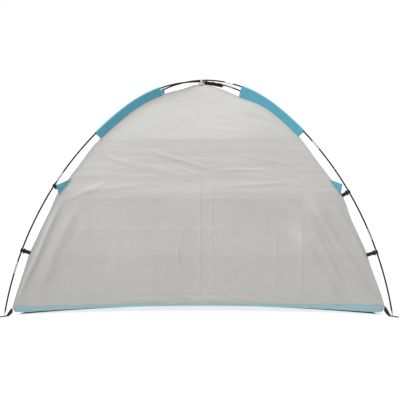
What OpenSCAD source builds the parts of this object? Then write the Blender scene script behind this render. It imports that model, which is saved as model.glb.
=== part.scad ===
// Two-pole beach shelter: a grey half-dome canopy hung from two crossed, shock-corded poles.
// Origin on the ground under the apex, +X right and +Y towards the open front, +Z up.

/* [Poles] */
// Distance from the centre to a pole's foot, measured along its own diagonal
half_span = 1221; // [1150:1:1300]
// Height of the poles' crossing above the ground
crown_height = 1313.5; // [1280:0.5:1350]
// Bend radius over the crown
crown_radius = 875; // [840:5:920]
// Bend radius of the legs
leg_radius = 1757; // [1700:1:1820]
// Plan angle between a pole and the X axis
plan_angle = 31; // [28:0.5:34]
// Outside diameter of a pole section
pole_diameter = 9; // [8:0.1:9]
// Diameter of the hole through a pole section
pole_bore = 3.4; // [3:0.1:4]
// Diameter of the elastic cord in the poles
cord_diameter = 2.6; // [2:0.1:2.8]
// Outside diameter of a ferrule
ferrule_diameter = 11; // [10.5:0.1:11.4]
// Length of a ferrule
ferrule_length = 62; // [50:1:66]

/* [Canopy] */
// Thickness of every sheet of cloth
cloth = 1.6; // [1.2:0.1:2]
// Distance from a pole down to the ridge seam along the sleeves
sleeve_gap = 46; // [42:1:50]
// Distance from a pole to the ridge seam along the legs
leg_gap = 50; // [46:1:54]
// How far the rear wall's lower edge bows in
rear_hem_bow = 95; // [60:5:120]
// How far a side wall's lower edge bows in
side_hem_bow = 45; // [30:5:70]
// How far the rear wall's lower edge arches up, in degrees of station
rear_hem_lift = 0.05; // [0:0.05:1]
// How far a side wall's lower edge arches up, in degrees of station
side_hem_lift = 0.05; // [0:0.05:0.6]
// How far the front roof panel's edge arches up, in degrees of station
front_arch = 11; // [6:0.5:15]

/* [Webbing] */
// Width of all the webbing
webbing_width = 20; // [18:0.5:20]
// Thickness of one layer of webbing
webbing = 1.2; // [1:0.1:1.2]
// Reach of a corner strap past the pole's foot
strap_reach = 36; // [30:1:45]

/* [Hidden] */

$fn = 48;

// Each leg: its direction in plan, which pole it belongs to, and the side its side wall is on
REAR_LEFT = [180 + plan_angle, 0, -1];
REAR_RIGHT = [-plan_angle, 1, 1];
FRONT_RIGHT = [plan_angle, 0, -1];
FRONT_LEFT = [180 - plan_angle, 1, 1];
LEGS = [
    ["rear_left", REAR_LEFT],
    ["rear_right", REAR_RIGHT],
    ["front_right", FRONT_RIGHT],
    ["front_left", FRONT_LEFT]];

// Joints between sections. The poles are alike and lie opposite ways round: on one half they come at
// these distances from the foot and where the bend changes, on the other half at the last three.
near_joints = [257, 804];
far_joints = [445, 1030];
crown_joint = 203;
tip_length = 20;
foot_z = 10;
section_gap = 0.3;
ferrule_fit = 0.25;
cord_core = 0.6;

// How finely a pole is swept where its bend changes, and the cord and sleeves along it
sweep_pitch = 28;
sweep_sides = 16;
cord_pitch = 45;
cord_sides = 8;
sleeve_pitch = 36;

// Stations on a leg, as the angle between the pole's normal and the vertical
apex_angle = 1.3;
web_start = 12;
sleeve_top = 19.4;
seam_angle = 43.5;
gusset_stations = [53.4, 55.8, 56.9];
gusset_reach = 6;
upper_clip = 57.7;
upper_clip_rear_left = 56;
lower_clip = 69.5;
lower_clip_rear_left = 68.8;
hem_angle = 78.95;

// The ridge seam's line: taut between its supports, drawn out at the gussets and the corners, and on
// the rear right leg looser between its clips and under the sleeve's upper end
taut_spans = [[43.5, 56.3], [56.3, 69.2], [69.2, 79.5]];
taut_share = 0.8;
gusset_pinch = 57.3;
loose_leg = [59, 63];
hem_pull = 11;
hem_pulled = [70, 79];
extra_slack = 10;
droop_station = 20;
droop = 20;
gusset_drop = [0.55, 0.2, 0.45];

// Room left between neighbouring sheets of cloth
slack = 0.4;
rear_bows = [22, 30, rear_hem_bow];
side_bows = [14, 14, side_hem_bow];
roof_share = 0.4;

// The apex patch, the skirts and the groundsheet
patch_radius = 22;
patch_top_radius = 10;
patch_lift = 2.4;
patch_skin = 1.2;
rear_tuck = 84;
side_tuck = 30;
skirt_tuck = 60;
knee_height = 15;
knee_rise = 14;
corner_mitre = 102;
floor_inset = 103;
front_inset = 40;
floor_clear = 12;
front_edge_bow = 20;

radius_step = leg_radius - crown_radius;

// The bend of one pole (0 is the lower pole, 1 the upper): crown arc, then a flatter leg arc
function rise(pole) = crown_height + (pole - 0.5) * (pole_diameter + section_gap) - foot_z;
function drop(pole) = crown_radius - rise(pole);
function bend_sum(pole) =
    (leg_radius ^ 2 - half_span ^ 2 - drop(pole) ^ 2 - radius_step ^ 2) / (2 * radius_step);
function crown_angle(pole) =
    asin(bend_sum(pole) / norm([half_span, drop(pole)])) - atan2(drop(pole), half_span);
function foot_angle(pole) =
    atan2(half_span + radius_step * sin(crown_angle(pole)),
        drop(pole) + radius_step * cos(crown_angle(pole)));
function crown_centre(pole) = [0, foot_z + rise(pole) - crown_radius];
function leg_centre(pole) =
    crown_centre(pole) - radius_step * [sin(crown_angle(pole)), cos(crown_angle(pole))];
function crown_run(pole) = crown_radius * crown_angle(pole) * PI / 180;
function half_run(pole) =
    crown_run(pole) + leg_radius * (foot_angle(pole) - crown_angle(pole)) * PI / 180;

// A place on a leg at a station, a given distance inside the pole: [outward, height]
function on_leg(pole, angle, inside) =
    angle <= crown_angle(pole)
        ? crown_centre(pole) + (crown_radius - inside) * [sin(angle), cos(angle)]
        : leg_centre(pole) + (leg_radius - inside) * [sin(angle), cos(angle)];

function ease(a, b, x) =
    let (t = max(0, min(1, (x - a) / (b - a)))) t * t * (3 - 2 * t);
function bump(centre, width, x) = exp(-pow((x - centre) / width, 2));

// How far a straight line between two supports of the ridge lies inside the pole's bend
function taut(angle) =
    max([for (span = taut_spans)
        let (half = (span[1] - span[0]) / 2)
        let (off = abs(angle - span[0] - half))
        off < half ? taut_share * leg_radius * (1 - cos(half) / cos(off)) : 0]);

// Distance from the pole in to the ridge seam. Under the upper pole the seam drops to meet the
// lower pole's at the apex.
function ridge_gap(leg, angle) =
    let (rear_right = leg == REAR_RIGHT ? 1 : 0)
    let (pulled = ease(hem_pulled[0], hem_pulled[1], angle))
    sleeve_gap * ease(-6, web_start, angle)
        + leg[1] * (pole_diameter + section_gap) * (1 - ease(0, web_start, angle))
        + (leg_gap - sleeve_gap) * ease(45, 50, angle)
        + rear_right * extra_slack * (ease(loose_leg[0], loose_leg[1], angle) - pulled)
        - hem_pull * pulled
        + rear_right * droop * bump(droop_station, 9, angle)
        + taut(angle)
        - 6 * bump(gusset_pinch, 1.8, angle);

// Turns a place in a leg's own plane into a place in the model
function lay(leg, place) = [place[0] * cos(leg[0]), place[0] * sin(leg[0]), place[1]];
function across(leg) = leg[2] * [-sin(leg[0]), cos(leg[0]), 0];
function ridge(leg, angle, inside = 0) = lay(leg, on_leg(leg[1], angle, ridge_gap(leg, angle) + inside));
function downhill(leg, angle) = [cos(angle) * cos(leg[0]), cos(angle) * sin(leg[0]), -sin(angle)];
function unit(v) = v / norm(v);

// The sag of a panel between its two ridges, at a station: slack over the roof, taut at the
// cross seam, and bowed in at the lower edge
function sag(angle, roof, wall, hem) =
    angle < seam_angle
        ? roof * sin(180 * angle / seam_angle) + roof_share * roof * ease(0, seam_angle, angle)
        : let (t = (angle - seam_angle) / (hem_angle - seam_angle))
            roof_share * roof * (1 - t) + wall * 4 * t * (1 - t) + hem * t * t;

// A place on a panel between two legs. along runs from -1 at the first leg to 1 at the second.
function panel_normal(a, b, angle) =
    let (level = ridge(b, angle) - ridge(a, angle))
    let (fall = downhill(a, angle) + downhill(b, angle))
    unit(cross(level, fall));
function panel_place(a, b, angle, along, bow, depth) =
    let (rule = ridge(a, angle) * (1 - along) / 2 + ridge(b, angle) * (1 + along) / 2)
    rule + panel_normal(a, b, angle) * (bow * (1 - along * along) + depth);
// At a ridge the cloth is cut back a little from the leg's plane, so that neighbours don't meet
function ridge_place(leg, toward, angle, depth) =
    ridge(leg, angle, depth * 1.3) + slack * toward * across(leg);

// A closed sheet from a grid of places on its outside and the same grid on its inside
module sheet(outer, inner) {
    rows = len(outer);
    cols = len(outer[0]);
    count = rows * cols;
    points = concat([for (row = outer) for (p = row) p], [for (row = inner) for (p = row) p]);
    function at(r, c) = r * cols + c;
    skin = [for (r = [0 : rows - 2]) for (c = [0 : cols - 2])
        each [[at(r, c), at(r + 1, c + 1), at(r + 1, c)], [at(r, c), at(r, c + 1), at(r + 1, c + 1)]]];
    back = [for (f = skin) [f[2] + count, f[1] + count, f[0] + count]];
    rim = concat(
        [for (c = [0 : cols - 2]) [at(0, c), at(0, c + 1)]],
        [for (r = [0 : rows - 2]) [at(r, cols - 1), at(r + 1, cols - 1)]],
        [for (c = [cols - 1 : -1 : 1]) [at(rows - 1, c), at(rows - 1, c - 1)]],
        [for (r = [rows - 1 : -1 : 1]) [at(r, 0), at(r - 1, 0)]]);
    edge = [for (e = rim) each [[e[1], e[0], e[0] + count], [e[1], e[0] + count, e[1] + count]]];
    polyhedron(points, concat(skin, back, edge));
}

// The station of a lower edge that arches up by some degrees in the middle
function arched(bottom, lift, along) = bottom - lift * (1 - along * along);

// One canopy panel between legs a and b, from station top to station bottom
module canopy_panel(a, b, side_a, side_b, top, bottom, bows, rows, cols, lift = 0) {
    function place(r, c, depth) =
        let (along = 2 * c / cols - 1)
        let (angle = top + (arched(bottom, lift, along) - top) * r / rows)
        c == 0 ? ridge_place(a, side_a, angle, depth)
            : c == cols ? ridge_place(b, side_b, angle, depth)
            : panel_place(a, b, angle, along, sag(angle, bows[0], bows[1], bows[2]), depth);
    function grid(depth) = [for (r = [0 : rows]) [for (c = [0 : cols]) place(r, c, depth)]];
    sheet(grid(0), grid(cloth));
}

CLOTH_GREY = [0.72, 0.71, 0.69];
CLOTH_BLUE = [0.24, 0.58, 0.68];

module rear_wall() {
    color(CLOTH_GREY)
        canopy_panel(REAR_LEFT, REAR_RIGHT, -1, -1, seam_angle + 0.02, hem_angle, rear_bows, 14, 20,
            rear_hem_lift);
}

module rear_roof_panel() {
    color(CLOTH_GREY)
        canopy_panel(REAR_LEFT, REAR_RIGHT, -1, -1, apex_angle, seam_angle - 0.02, rear_bows, 12, 20);
}

module side_wall(a, b) {
    color(CLOTH_GREY)
        canopy_panel(a, b, 1, 1, apex_angle, hem_angle, side_bows, 22, 14, side_hem_lift);
}

module front_roof_panel() {
    color(CLOTH_GREY)
        canopy_panel(FRONT_RIGHT, FRONT_LEFT, -1, -1, apex_angle, seam_angle, rear_bows, 12, 20,
            front_arch);
}

// A shallow cone of cloth that closes the canopy at the very top, under the crossing
module apex_patch() {
    foot = ridge(REAR_LEFT, apex_angle)[2] + patch_lift;
    top = crown_height - pole_diameter - 3;
    module cone(skin) {
        translate([0, 0, foot - skin])
            cylinder(r1 = patch_radius, r2 = patch_top_radius, h = top - foot);
    }
    color(CLOTH_GREY)
        difference() {
            cone(0);
            cone(patch_skin);
        }
}

// The strip that joins a wall's lower edge to the groundsheet: down, then under. Its lower part is
// mitred at both ends, so that neighbouring skirts don't cross at the corner.
module skirt(a, b, bows, lift, tuck) {
    cols = 20;
    half_length = norm(ridge(b, hem_angle) - ridge(a, hem_angle)) / 2;
    mitre = 1 - corner_mitre / half_length;
    function top_place(along, depth) =
        let (angle = arched(hem_angle, lift, along))
        panel_place(a, b, angle, along * 0.997, sag(angle, bows[0], bows[1], bows[2]), depth) - [0, 0, 0.5];
    function inward(along) =
        let (n = panel_normal(a, b, hem_angle)) unit([n[0], n[1], 0]);
    function place(row, along, depth) =
        let (top = top_place(row < 2 ? along : along * mitre, depth))
        let (middle = 1 - along * along)
        row == 0 ? top
            : row == 1 ? [top[0], top[1], knee_height + knee_rise * middle + depth]
            : [top[0], top[1], depth * 0.9] + inward(along) * (skirt_tuck + tuck * middle);
    function grid(depth) =
        [for (row = [0 : 2]) [for (c = [0 : cols]) place(row, 2 * c / cols - 1, depth)]];
    color(CLOTH_BLUE)
        sheet(grid(0), grid(cloth));
}

module floor_skirt_rear() {
    skirt(REAR_LEFT, REAR_RIGHT, rear_bows, rear_hem_lift, rear_tuck);
}

module floor_skirt_side(a, b) {
    skirt(a, b, side_bows, side_hem_lift, side_tuck);
}

// The groundsheet lies flat inside the skirts
module groundsheet() {
    steps = 12;
    corner = ridge(FRONT_RIGHT, hem_angle);
    half_w = corner[0] - floor_inset;
    rear_d = corner[1] - floor_inset;
    front_d = corner[1] - front_inset;
    clear = floor_clear - (floor_inset - skirt_tuck);
    rear_pull = rear_hem_bow + rear_tuck + clear;
    side_pull = side_hem_bow + side_tuck + clear;
    function edge(from, to, pull) =
        [for (i = [0 : steps - 1])
            let (t = i / steps)
            from * (1 - t) + to * t + pull * 4 * t * (1 - t)];
    outline = concat(
        edge([-half_w, -rear_d], [half_w, -rear_d], [0, rear_pull]),
        edge([half_w, -rear_d], [half_w, front_d], [-side_pull, 0]),
        edge([half_w, front_d], [-half_w, front_d], [0, -front_edge_bow]),
        edge([-half_w, front_d], [-half_w, -rear_d], [side_pull, 0]));
    color(CLOTH_BLUE)
        linear_extrude(cloth)
            polygon(outline);
}

// Sweeps a profile along an arc in the XZ plane. Angles are from the vertical towards +X.
module arc(centre, radius, from, to) {
    translate([centre[0], 0, centre[1]])
        rotate([90, 0, 0])
            rotate([0, 0, 90 - to])
                rotate_extrude(angle = to - from, $fn = 96)
                    translate([radius, 0])
                        children();
}

// A place beside a pole, a signed distance along it from the crown, with an offset [outward, sideways]
function beside_pole(pole, run, offset) =
    let (side = run < 0 ? -1 : 1)
    let (crown = crown_run(pole))
    let (on_crown = abs(run) <= crown)
    let (angle = on_crown
        ? abs(run) / crown_radius * 180 / PI
        : crown_angle(pole) + (abs(run) - crown) / leg_radius * 180 / PI)
    let (centre = on_crown ? crown_centre(pole) : leg_centre(pole))
    let (radius = (on_crown ? crown_radius : leg_radius) + offset[0])
    [side * (centre[0] + radius * sin(angle)), offset[1], centre[1] + radius * cos(angle)];

// Sweeps outlines, one for each run, with a hole along a pole. All have the same number of places.
module sweep(pole, runs, outers, inner) {
    sides = len(inner);
    ring_size = 2 * sides;
    last = len(runs) - 1;
    points = [for (r = [0 : last])
        for (offset = concat(outers[r], inner)) beside_pole(pole, runs[r], offset)];
    function at(ring, i) = ring * ring_size + i % sides;
    function inside(ring, i) = at(ring, i) + sides;
    function quad(a, b, c, d) = [[a, b, c], [a, c, d]];
    walls = [for (r = [0 : last - 1]) for (i = [0 : sides - 1])
        each concat(
            quad(at(r, i), at(r, i + 1), at(r + 1, i + 1), at(r + 1, i)),
            quad(inside(r, i), inside(r + 1, i), inside(r + 1, i + 1), inside(r, i + 1)))];
    ends = [for (i = [0 : sides - 1])
        each concat(
            quad(at(0, i), inside(0, i), inside(0, i + 1), at(0, i + 1)),
            quad(at(last, i), at(last, i + 1), inside(last, i + 1), inside(last, i)))];
    polyhedron(points, concat(walls, ends));
}

function steps(from, to, pitch) =
    let (count = ceil((to - from) / pitch)) [for (i = [0 : count]) from + (to - from) * i / count];
function round_outline(d, sides) =
    [for (i = [0 : sides - 1]) d / 2 * [cos(360 * i / sides), sin(360 * i / sides)]];
function alike(outline, runs) = [for (run = runs) outline];

// A tube along a pole, between two distances from its rear foot. Where the bend changes on the way
// it is swept, and elsewhere it is one true arc.
module pole_tube(pole, from, to, outer_d, inner_d) {
    a = from - half_run(pole);
    b = to - half_run(pole);
    crown = crown_run(pole);
    function crosses(place) = a < place && b > place;
    function leg_at(run) = crown_angle(pole) + (run - crown) / leg_radius * 180 / PI;
    runs = steps(a, b, sweep_pitch);
    rotate([0, 0, pole == 0 ? plan_angle : 180 - plan_angle]) {
        if (crosses(crown) || crosses(-crown))
            sweep(pole, runs, alike(round_outline(outer_d, sweep_sides), runs),
                round_outline(inner_d, sweep_sides));
        else if (a >= crown)
            arc(leg_centre(pole), leg_radius, leg_at(a), leg_at(b))
                ring(outer_d, inner_d);
        else if (b <= -crown)
            mirror([1, 0, 0])
                arc(leg_centre(pole), leg_radius, leg_at(-b), leg_at(-a))
                    ring(outer_d, inner_d);
        else
            arc(crown_centre(pole), crown_radius,
                a / crown_radius * 180 / PI, b / crown_radius * 180 / PI)
                ring(outer_d, inner_d);
    }
}

module ring(outer_d, inner_d) {
    difference() {
        circle(d = outer_d);
        circle(d = inner_d);
    }
}

// Where the joints come on a pole, counted from its rear foot
function joints(pole) =
    let (half = half_run(pole))
    let (whole = 2 * half)
    pole == 0
        ? concat(near_joints, [half - crown_run(pole), half + crown_joint],
            [whole - far_joints[1], whole - far_joints[0]])
        : concat(far_joints, [half - crown_joint, half + crown_run(pole)],
            [whole - near_joints[1], whole - near_joints[0]]);
function section_ends(pole) =
    concat([tip_length], joints(pole), [2 * half_run(pole) - tip_length]);

module pole_section(pole, i) {
    ends = section_ends(pole);
    color([0.09, 0.09, 0.1])
        pole_tube(pole, ends[i - 1] + section_gap, ends[i] - section_gap, pole_diameter, pole_bore);
}

module pole_ferrules(pole) {
    color([0.68, 0.68, 0.7])
        for (s = joints(pole))
            pole_tube(pole, s - ferrule_length / 2, s + ferrule_length / 2,
                ferrule_diameter, pole_diameter + 2 * ferrule_fit);
}

// The elastic cord through the whole pole, with a thin core so that it is one closed tube
module shock_cord(pole) {
    reach = half_run(pole) - tip_length - 1;
    runs = steps(-reach, reach, cord_pitch);
    color([0.85, 0.85, 0.85])
        rotate([0, 0, pole == 0 ? plan_angle : 180 - plan_angle])
            sweep(pole, runs, alike(round_outline(cord_diameter, cord_sides), runs),
                round_outline(cord_core, cord_sides));
}

module at_leg(leg) {
    rotate([0, 0, leg[0]])
        mirror([0, leg[2] < 0 ? 1 : 0, 0])
            children();
}

// A frame on a leg's pole: +X out along the pole's normal, +Y towards the side wall, +Z up the pole
module at_station(leg, angle) {
    place = on_leg(leg[1], angle, 0);
    at_leg(leg)
        translate([place[0], 0, place[1]])
            rotate([0, angle - 90, 0])
                children();
}

stud_diameter = 5;

// A collar on the end of the pole with a stud that stands in the corner eyelet
module pole_tips() {
    color([0.75, 0.75, 0.77])
        for (leg = LEGS)
            at_station(leg[1], foot_angle(leg[1][1]))
                union() {
                    translate([0, 0, 5])
                        cylinder(d = pole_diameter, h = tip_length - 5.2);
                    translate([0, 0, -8.6])
                        cylinder(d = stud_diameter, h = 14, $fn = 32);
                }
}

sleeve_bore = 12.8;
sleeve_tube = 15.6;
sleeve_arc = 130;

// A pole sleeve: a tube of cloth round the pole, with a web down to the ridge seam
module sleeve(leg) {
    pole = leg[1];
    function run(angle) = angle <= crown_angle(pole)
        ? crown_radius * angle * PI / 180
        : crown_run(pole) + leg_radius * (angle - crown_angle(pole)) * PI / 180;
    function station(run) = run <= crown_run(pole)
        ? run / crown_radius * 180 / PI
        : crown_angle(pole) + (run - crown_run(pole)) / leg_radius * 180 / PI;
    runs = steps(run(sleeve_top), run(seam_angle), sleeve_pitch);
    arc_angles = [for (i = [0 : 11]) -sleeve_arc + 2 * sleeve_arc * i / 11];
    function round_part(d, angles) = [for (t = angles) d / 2 * [cos(t), sin(t)]];
    outers = [for (run = runs)
        let (web_end = ridge_gap(leg, station(run)) - 1)
        concat(round_part(sleeve_tube, arc_angles),
            [[-9, 0.8], [-web_end, 0.8], [-web_end, -0.8], [-9, -0.8]])];
    inner = round_part(sleeve_bore, concat(arc_angles, [150, 170, 190, 210]));
    color(CLOTH_BLUE)
        rotate([0, 0, leg[0]])
            sweep(pole, runs, outers, inner);
}

gusset_side = 8.6;

// A right-angled patch between the ridge seam and the pole, on the outer face of the seam
module ridge_gusset(leg) {
    pole = leg[1];
    at = gusset_stations + (leg == REAR_RIGHT ? gusset_drop : [0, 0, 0]);
    top = on_leg(pole, at[0], ridge_gap(leg, at[0]) - 2);
    corner = on_leg(pole, at[1], gusset_reach);
    bottom = on_leg(pole, at[2], ridge_gap(leg, at[2]) - 2);
    color(CLOTH_BLUE)
        at_leg(leg)
            translate([0, -gusset_side, 0])
                rotate([90, 0, 0])
                    linear_extrude(cloth)
                        polygon([top, corner, bottom]);
}

bar_offset = 17;
bar_diameter = 4;
loop_bore = 4.7;
clip_height = 28;
hook_height = 18;
hook_bore = 9.8;
hook_outer = 16;

// Webbing sewn in the ridge seam and looped round a clip's bar
module clip_strap(leg, angle) {
    root = ridge_gap(leg, angle) - 0.6;
    at_station(leg, angle)
        translate([0, 0, -webbing_width / 2])
            linear_extrude(webbing_width)
                difference() {
                    union() {
                        translate([-bar_offset, 0])
                            circle(d = loop_bore + 2 * webbing);
                        translate([-root, -webbing])
                            square([root - bar_offset, 2 * webbing]);
                    }
                    translate([-bar_offset, 0])
                        circle(d = loop_bore);
                }
}

function upper_station(leg) = leg == REAR_LEFT ? upper_clip_rear_left : upper_clip;
function lower_station(leg) = leg == REAR_LEFT ? lower_clip_rear_left : lower_clip;

module clip_straps(leg) {
    color([0.08, 0.08, 0.09]) {
        clip_strap(leg, lower_station(leg));
        clip_strap(leg, upper_station(leg));
    }
}

// The open hook that presses on to the pole, with its mouth on the side away from the side wall
module hook_profile() {
    near_lip = 1.5;
    far_lip = 6.5;
    difference() {
        union() {
            circle(d = hook_outer);
            translate([hook_bore / 2, -far_lip])
                square([(hook_outer - hook_bore) / 2, far_lip]);
            translate([-bar_offset + 4.6, -3])
                square([8, 6]);
        }
        circle(d = hook_bore);
        translate([-hook_bore / 2, -hook_outer])
            square([hook_bore, hook_outer]);
        translate([-hook_outer / 2 - 1, -hook_outer])
            square([hook_outer / 2, hook_outer - near_lip]);
    }
}

// A plastic pole clip: hook, two arms, and the bar that the webbing turns on
module clip(leg, angle) {
    arm = (clip_height - webbing_width - 1) / 2;
    color([0.06, 0.06, 0.07])
        at_station(leg, angle) {
            translate([0, 0, -hook_height / 2])
                linear_extrude(hook_height)
                    hook_profile();
            translate([-bar_offset + 4.6, -3, -clip_height / 2])
                cube([3.4, 6, clip_height]);
            translate([-bar_offset, 0, -clip_height / 2])
                cylinder(d = bar_diameter, h = clip_height);
            for (z = [-clip_height / 2, clip_height / 2 - arm])
                translate([-bar_offset, -3, z]) {
                    cube([6, 6, arm]);
                    translate([0, 3, 0])
                        cylinder(d = 6, h = arm);
                }
        }
}

strap_bottom = 1;
eyelet_bore = 6.4;
eyelet_flange = 13;
hole_diameter = 8;
// The pole's stud leans outward, so its eyelet is a little past the pole's foot
foot_place = half_span + 1.3;
peg_place = half_span + strap_reach - 12;

strap_twist = 80;
strap_steps = 14;

// Along a corner strap: it hangs on edge from the canopy's corner and turns flat at the pole's foot.
// Each entry is the centre line's place [outward, height], and the twist there.
function strap_line(leg) =
    let (corner = on_leg(leg[1], hem_angle, ridge_gap(leg, hem_angle)))
    let (from = corner[0] + 3)
    let (flat_from = half_span - 12)
    let (rest = strap_bottom + webbing)
    concat(
        [for (i = [0 : strap_steps])
            let (t = i / strap_steps)
            [[from + (flat_from - from) * t, rest + (corner[1] - 10 - rest) * pow(1 - t, 1.3)],
                strap_twist * pow(1 - t, 0.9)]],
        [[[half_span + strap_reach, rest], 0]]);

module corner_strap(leg) {
    line = strap_line(leg);
    last = len(line) - 1;
    function place(i, side, face) =
        let (run = unit(line[min(i + 1, last)][0] - line[max(i - 1, 0)][0]))
        let (up = unit([-run[1] * ease(0, 4, i), 0, run[0]]))
        let (twist = line[i][1])
        [line[i][0][0], 0, line[i][0][1]]
            + side * webbing_width / 2 * (cos(twist) * [0, 1, 0] + sin(twist) * up)
            + face * webbing * (cos(twist) * up - sin(twist) * [0, 1, 0]);
    function grid(face) = [for (i = [0 : last]) [for (side = [-1, 1]) place(i, side, face)]];
    color([0.08, 0.08, 0.09])
        at_leg(leg)
            difference() {
                sheet(grid(1), grid(-1));
                for (r = [foot_place, peg_place])
                    translate([r, 0, -1])
                        cylinder(d = hole_diameter, h = 8);
            }
}

// A flanged eyelet pressed into the webbing
module eyelet(leg, r) {
    flange = 0.8;
    body = 2 * webbing + 0.1;
    at_leg(leg)
        translate([r, 0, strap_bottom - flange - 0.05])
            difference() {
                union() {
                    cylinder(d = eyelet_flange, h = flange);
                    cylinder(d = hole_diameter - 0.2, h = body + 2 * flange);
                    translate([0, 0, flange + body])
                        cylinder(d = eyelet_flange, h = flange);
                }
                translate([0, 0, -1])
                    cylinder(d = eyelet_bore, h = 8);
            }
}

module pole_eyelets() {
    color([0.78, 0.78, 0.8])
        for (leg = LEGS)
            eyelet(leg[1], foot_place);
}

module peg_eyelets() {
    color([0.78, 0.78, 0.8])
        for (leg = LEGS)
            eyelet(leg[1], peg_place);
}

// A band round both poles where they cross, sewn to the top of the canopy
module apex_loop() {
    wide = 19.5;
    tall = 2 * pole_diameter + 2;
    wall = 1.6;
    band = 12;
    color([0.6, 0.6, 0.6])
        translate([-band / 2, 0, crown_height])
            rotate([90, 0, 90])
                linear_extrude(band)
                    difference() {
                        square([wide + 2 * wall, tall + 2 * wall], center = true);
                        square([wide, tall], center = true);
                    }
}

// Black tape tied close under the front right half of the lower pole, just past the crossing
module apex_tie_tape() {
    tape_from = 1.2;
    tape_to = 10.5;
    under = pole_diameter / 2 + 1 + 2 * webbing;
    lower = [for (i = [0 : 8]) on_leg(0, tape_from + (tape_to - tape_from) * i / 8, under)];
    upper = [for (i = [8 : -1 : 0]) lower[i] + [0, 2 * webbing]];
    color([0.08, 0.08, 0.09])
        at_leg(FRONT_RIGHT)
            translate([0, webbing_width / 2, 0])
                rotate([90, 0, 0])
                    linear_extrude(webbing_width)
                        polygon(concat(lower, upper));
}

for (i = [1 : 7]) {
    pole_section(0, i);
    pole_section(1, i);
}
pole_ferrules(0);  // pole_a_ferrules
pole_ferrules(1);  // pole_b_ferrules
shock_cord(0);  // pole_a_shock_cord
shock_cord(1);  // pole_b_shock_cord
pole_tips();
rear_wall();
rear_roof_panel();
side_wall(FRONT_LEFT, REAR_LEFT);  // left_wall
side_wall(REAR_RIGHT, FRONT_RIGHT);  // right_wall
front_roof_panel();
apex_patch();
groundsheet();
floor_skirt_rear();
floor_skirt_side(FRONT_LEFT, REAR_LEFT);  // floor_skirt_left
floor_skirt_side(REAR_RIGHT, FRONT_RIGHT);  // floor_skirt_right
for (leg = LEGS) {
    sleeve(leg[1]);
    ridge_gusset(leg[1]);
    clip_straps(leg[1]);
    clip(leg[1], lower_station(leg[1]));
    clip(leg[1], upper_station(leg[1]));
    corner_strap(leg[1]);
}
pole_eyelets();
peg_eyelets();
apex_loop();
apex_tie_tape();
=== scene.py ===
"""The looks of a two-pole beach shelter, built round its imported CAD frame.

Metres, Z up, with the open front towards +Y.
"""

import math

import bpy
import numpy as np
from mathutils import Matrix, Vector


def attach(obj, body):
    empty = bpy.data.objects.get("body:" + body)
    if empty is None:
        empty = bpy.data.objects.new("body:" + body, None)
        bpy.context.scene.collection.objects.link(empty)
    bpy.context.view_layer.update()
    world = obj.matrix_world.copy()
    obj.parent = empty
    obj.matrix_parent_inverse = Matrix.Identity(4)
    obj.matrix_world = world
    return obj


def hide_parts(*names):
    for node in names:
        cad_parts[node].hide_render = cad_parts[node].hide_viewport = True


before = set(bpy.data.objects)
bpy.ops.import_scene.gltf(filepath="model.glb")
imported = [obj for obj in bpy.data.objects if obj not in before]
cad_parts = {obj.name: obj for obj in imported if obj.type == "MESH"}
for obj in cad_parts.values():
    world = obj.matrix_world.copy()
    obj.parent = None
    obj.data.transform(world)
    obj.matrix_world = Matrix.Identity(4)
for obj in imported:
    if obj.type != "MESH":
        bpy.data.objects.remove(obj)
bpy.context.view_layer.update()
BODY = "shelter"

# The CAD's driving values
HALF_SPAN = 1.221
CROWN_HEIGHT = 1.3135
CROWN_RADIUS = 0.875
LEG_RADIUS = 1.757
PLAN_ANGLE = 31.0
POLE_D = 0.009
POLE_BORE = 0.0034
FERRULE_D = 0.011
FERRULE_LENGTH = 0.062
SECTION_GAP = 0.0003
FOOT_Z = 0.010
TIP_LENGTH = 0.020
SLEEVE_GAP = 0.046
LEG_GAP = 0.050
EXTRA_SLACK = 0.010
DROOP = 0.020
DROOP_STATION = 20.0
WEBBING_WIDTH = 0.020
STRAP_REACH = 0.036
FOOT_PLACE = HALF_SPAN + 0.0013
PEG_PLACE = HALF_SPAN + STRAP_REACH - 0.012
STRAP_START, STRAP_FLAT, STRAP_HEIGHT, STRAP_TWIST = 0.003, 0.012, 0.0022, 80.0
EYELET_HOLE = 0.0040
BAR_LOOP = 0.00295
NEAR_JOINTS = [0.257, 0.804]
FAR_JOINTS = [0.445, 1.030]
CROWN_JOINT = 0.203

# Stations on a leg, as the angle between the pole's normal and the vertical
APEX_ANGLE = 1.3
WEB_START = 12.0
SLEEVE_TOP = 19.4
SEAM_ANGLE = 43.5
GUSSET_STATIONS = (53.4, 55.8, 56.9)
GUSSET_DROP_REAR_RIGHT = (0.55, 0.2, 0.45)
GUSSET_REACH = 0.006
GUSSET_PINCH = 57.3
UPPER_CLIP, UPPER_CLIP_REAR_LEFT = 57.7, 56.0
LOWER_CLIP, LOWER_CLIP_REAR_LEFT = 69.5, 68.8
HEM_ANGLE = 78.95
HEM_PULL = 0.011
TAUT_SPANS = ((43.5, 56.3), (56.3, 69.2), (69.2, 79.5))
TAUT_SHARE = 0.8
REAR_BOWS = (0.022, 0.030, 0.095)
SIDE_BOWS = (0.014, 0.014, 0.045)
ROOF_SHARE = 0.4
REAR_HEM_LIFT, SIDE_HEM_LIFT, FRONT_ARCH = 0.05, 0.05, 11.0
REAR_TUCK, SIDE_TUCK, SKIRT_TUCK = 0.084, 0.030, 0.060
KNEE_HEIGHT, KNEE_RISE = 0.015, 0.014
REAR_MITRE, SIDE_MITRE = 0.092, 0.081
UNDERLAP = 0.022
FLOOR_INSET, FRONT_INSET, FLOOR_CLEAR, FRONT_EDGE_BOW = 0.052, 0.040, 0.012, 0.020
BAR_OFFSET = 0.017
GUSSET_ASIDE = -0.0094

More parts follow.
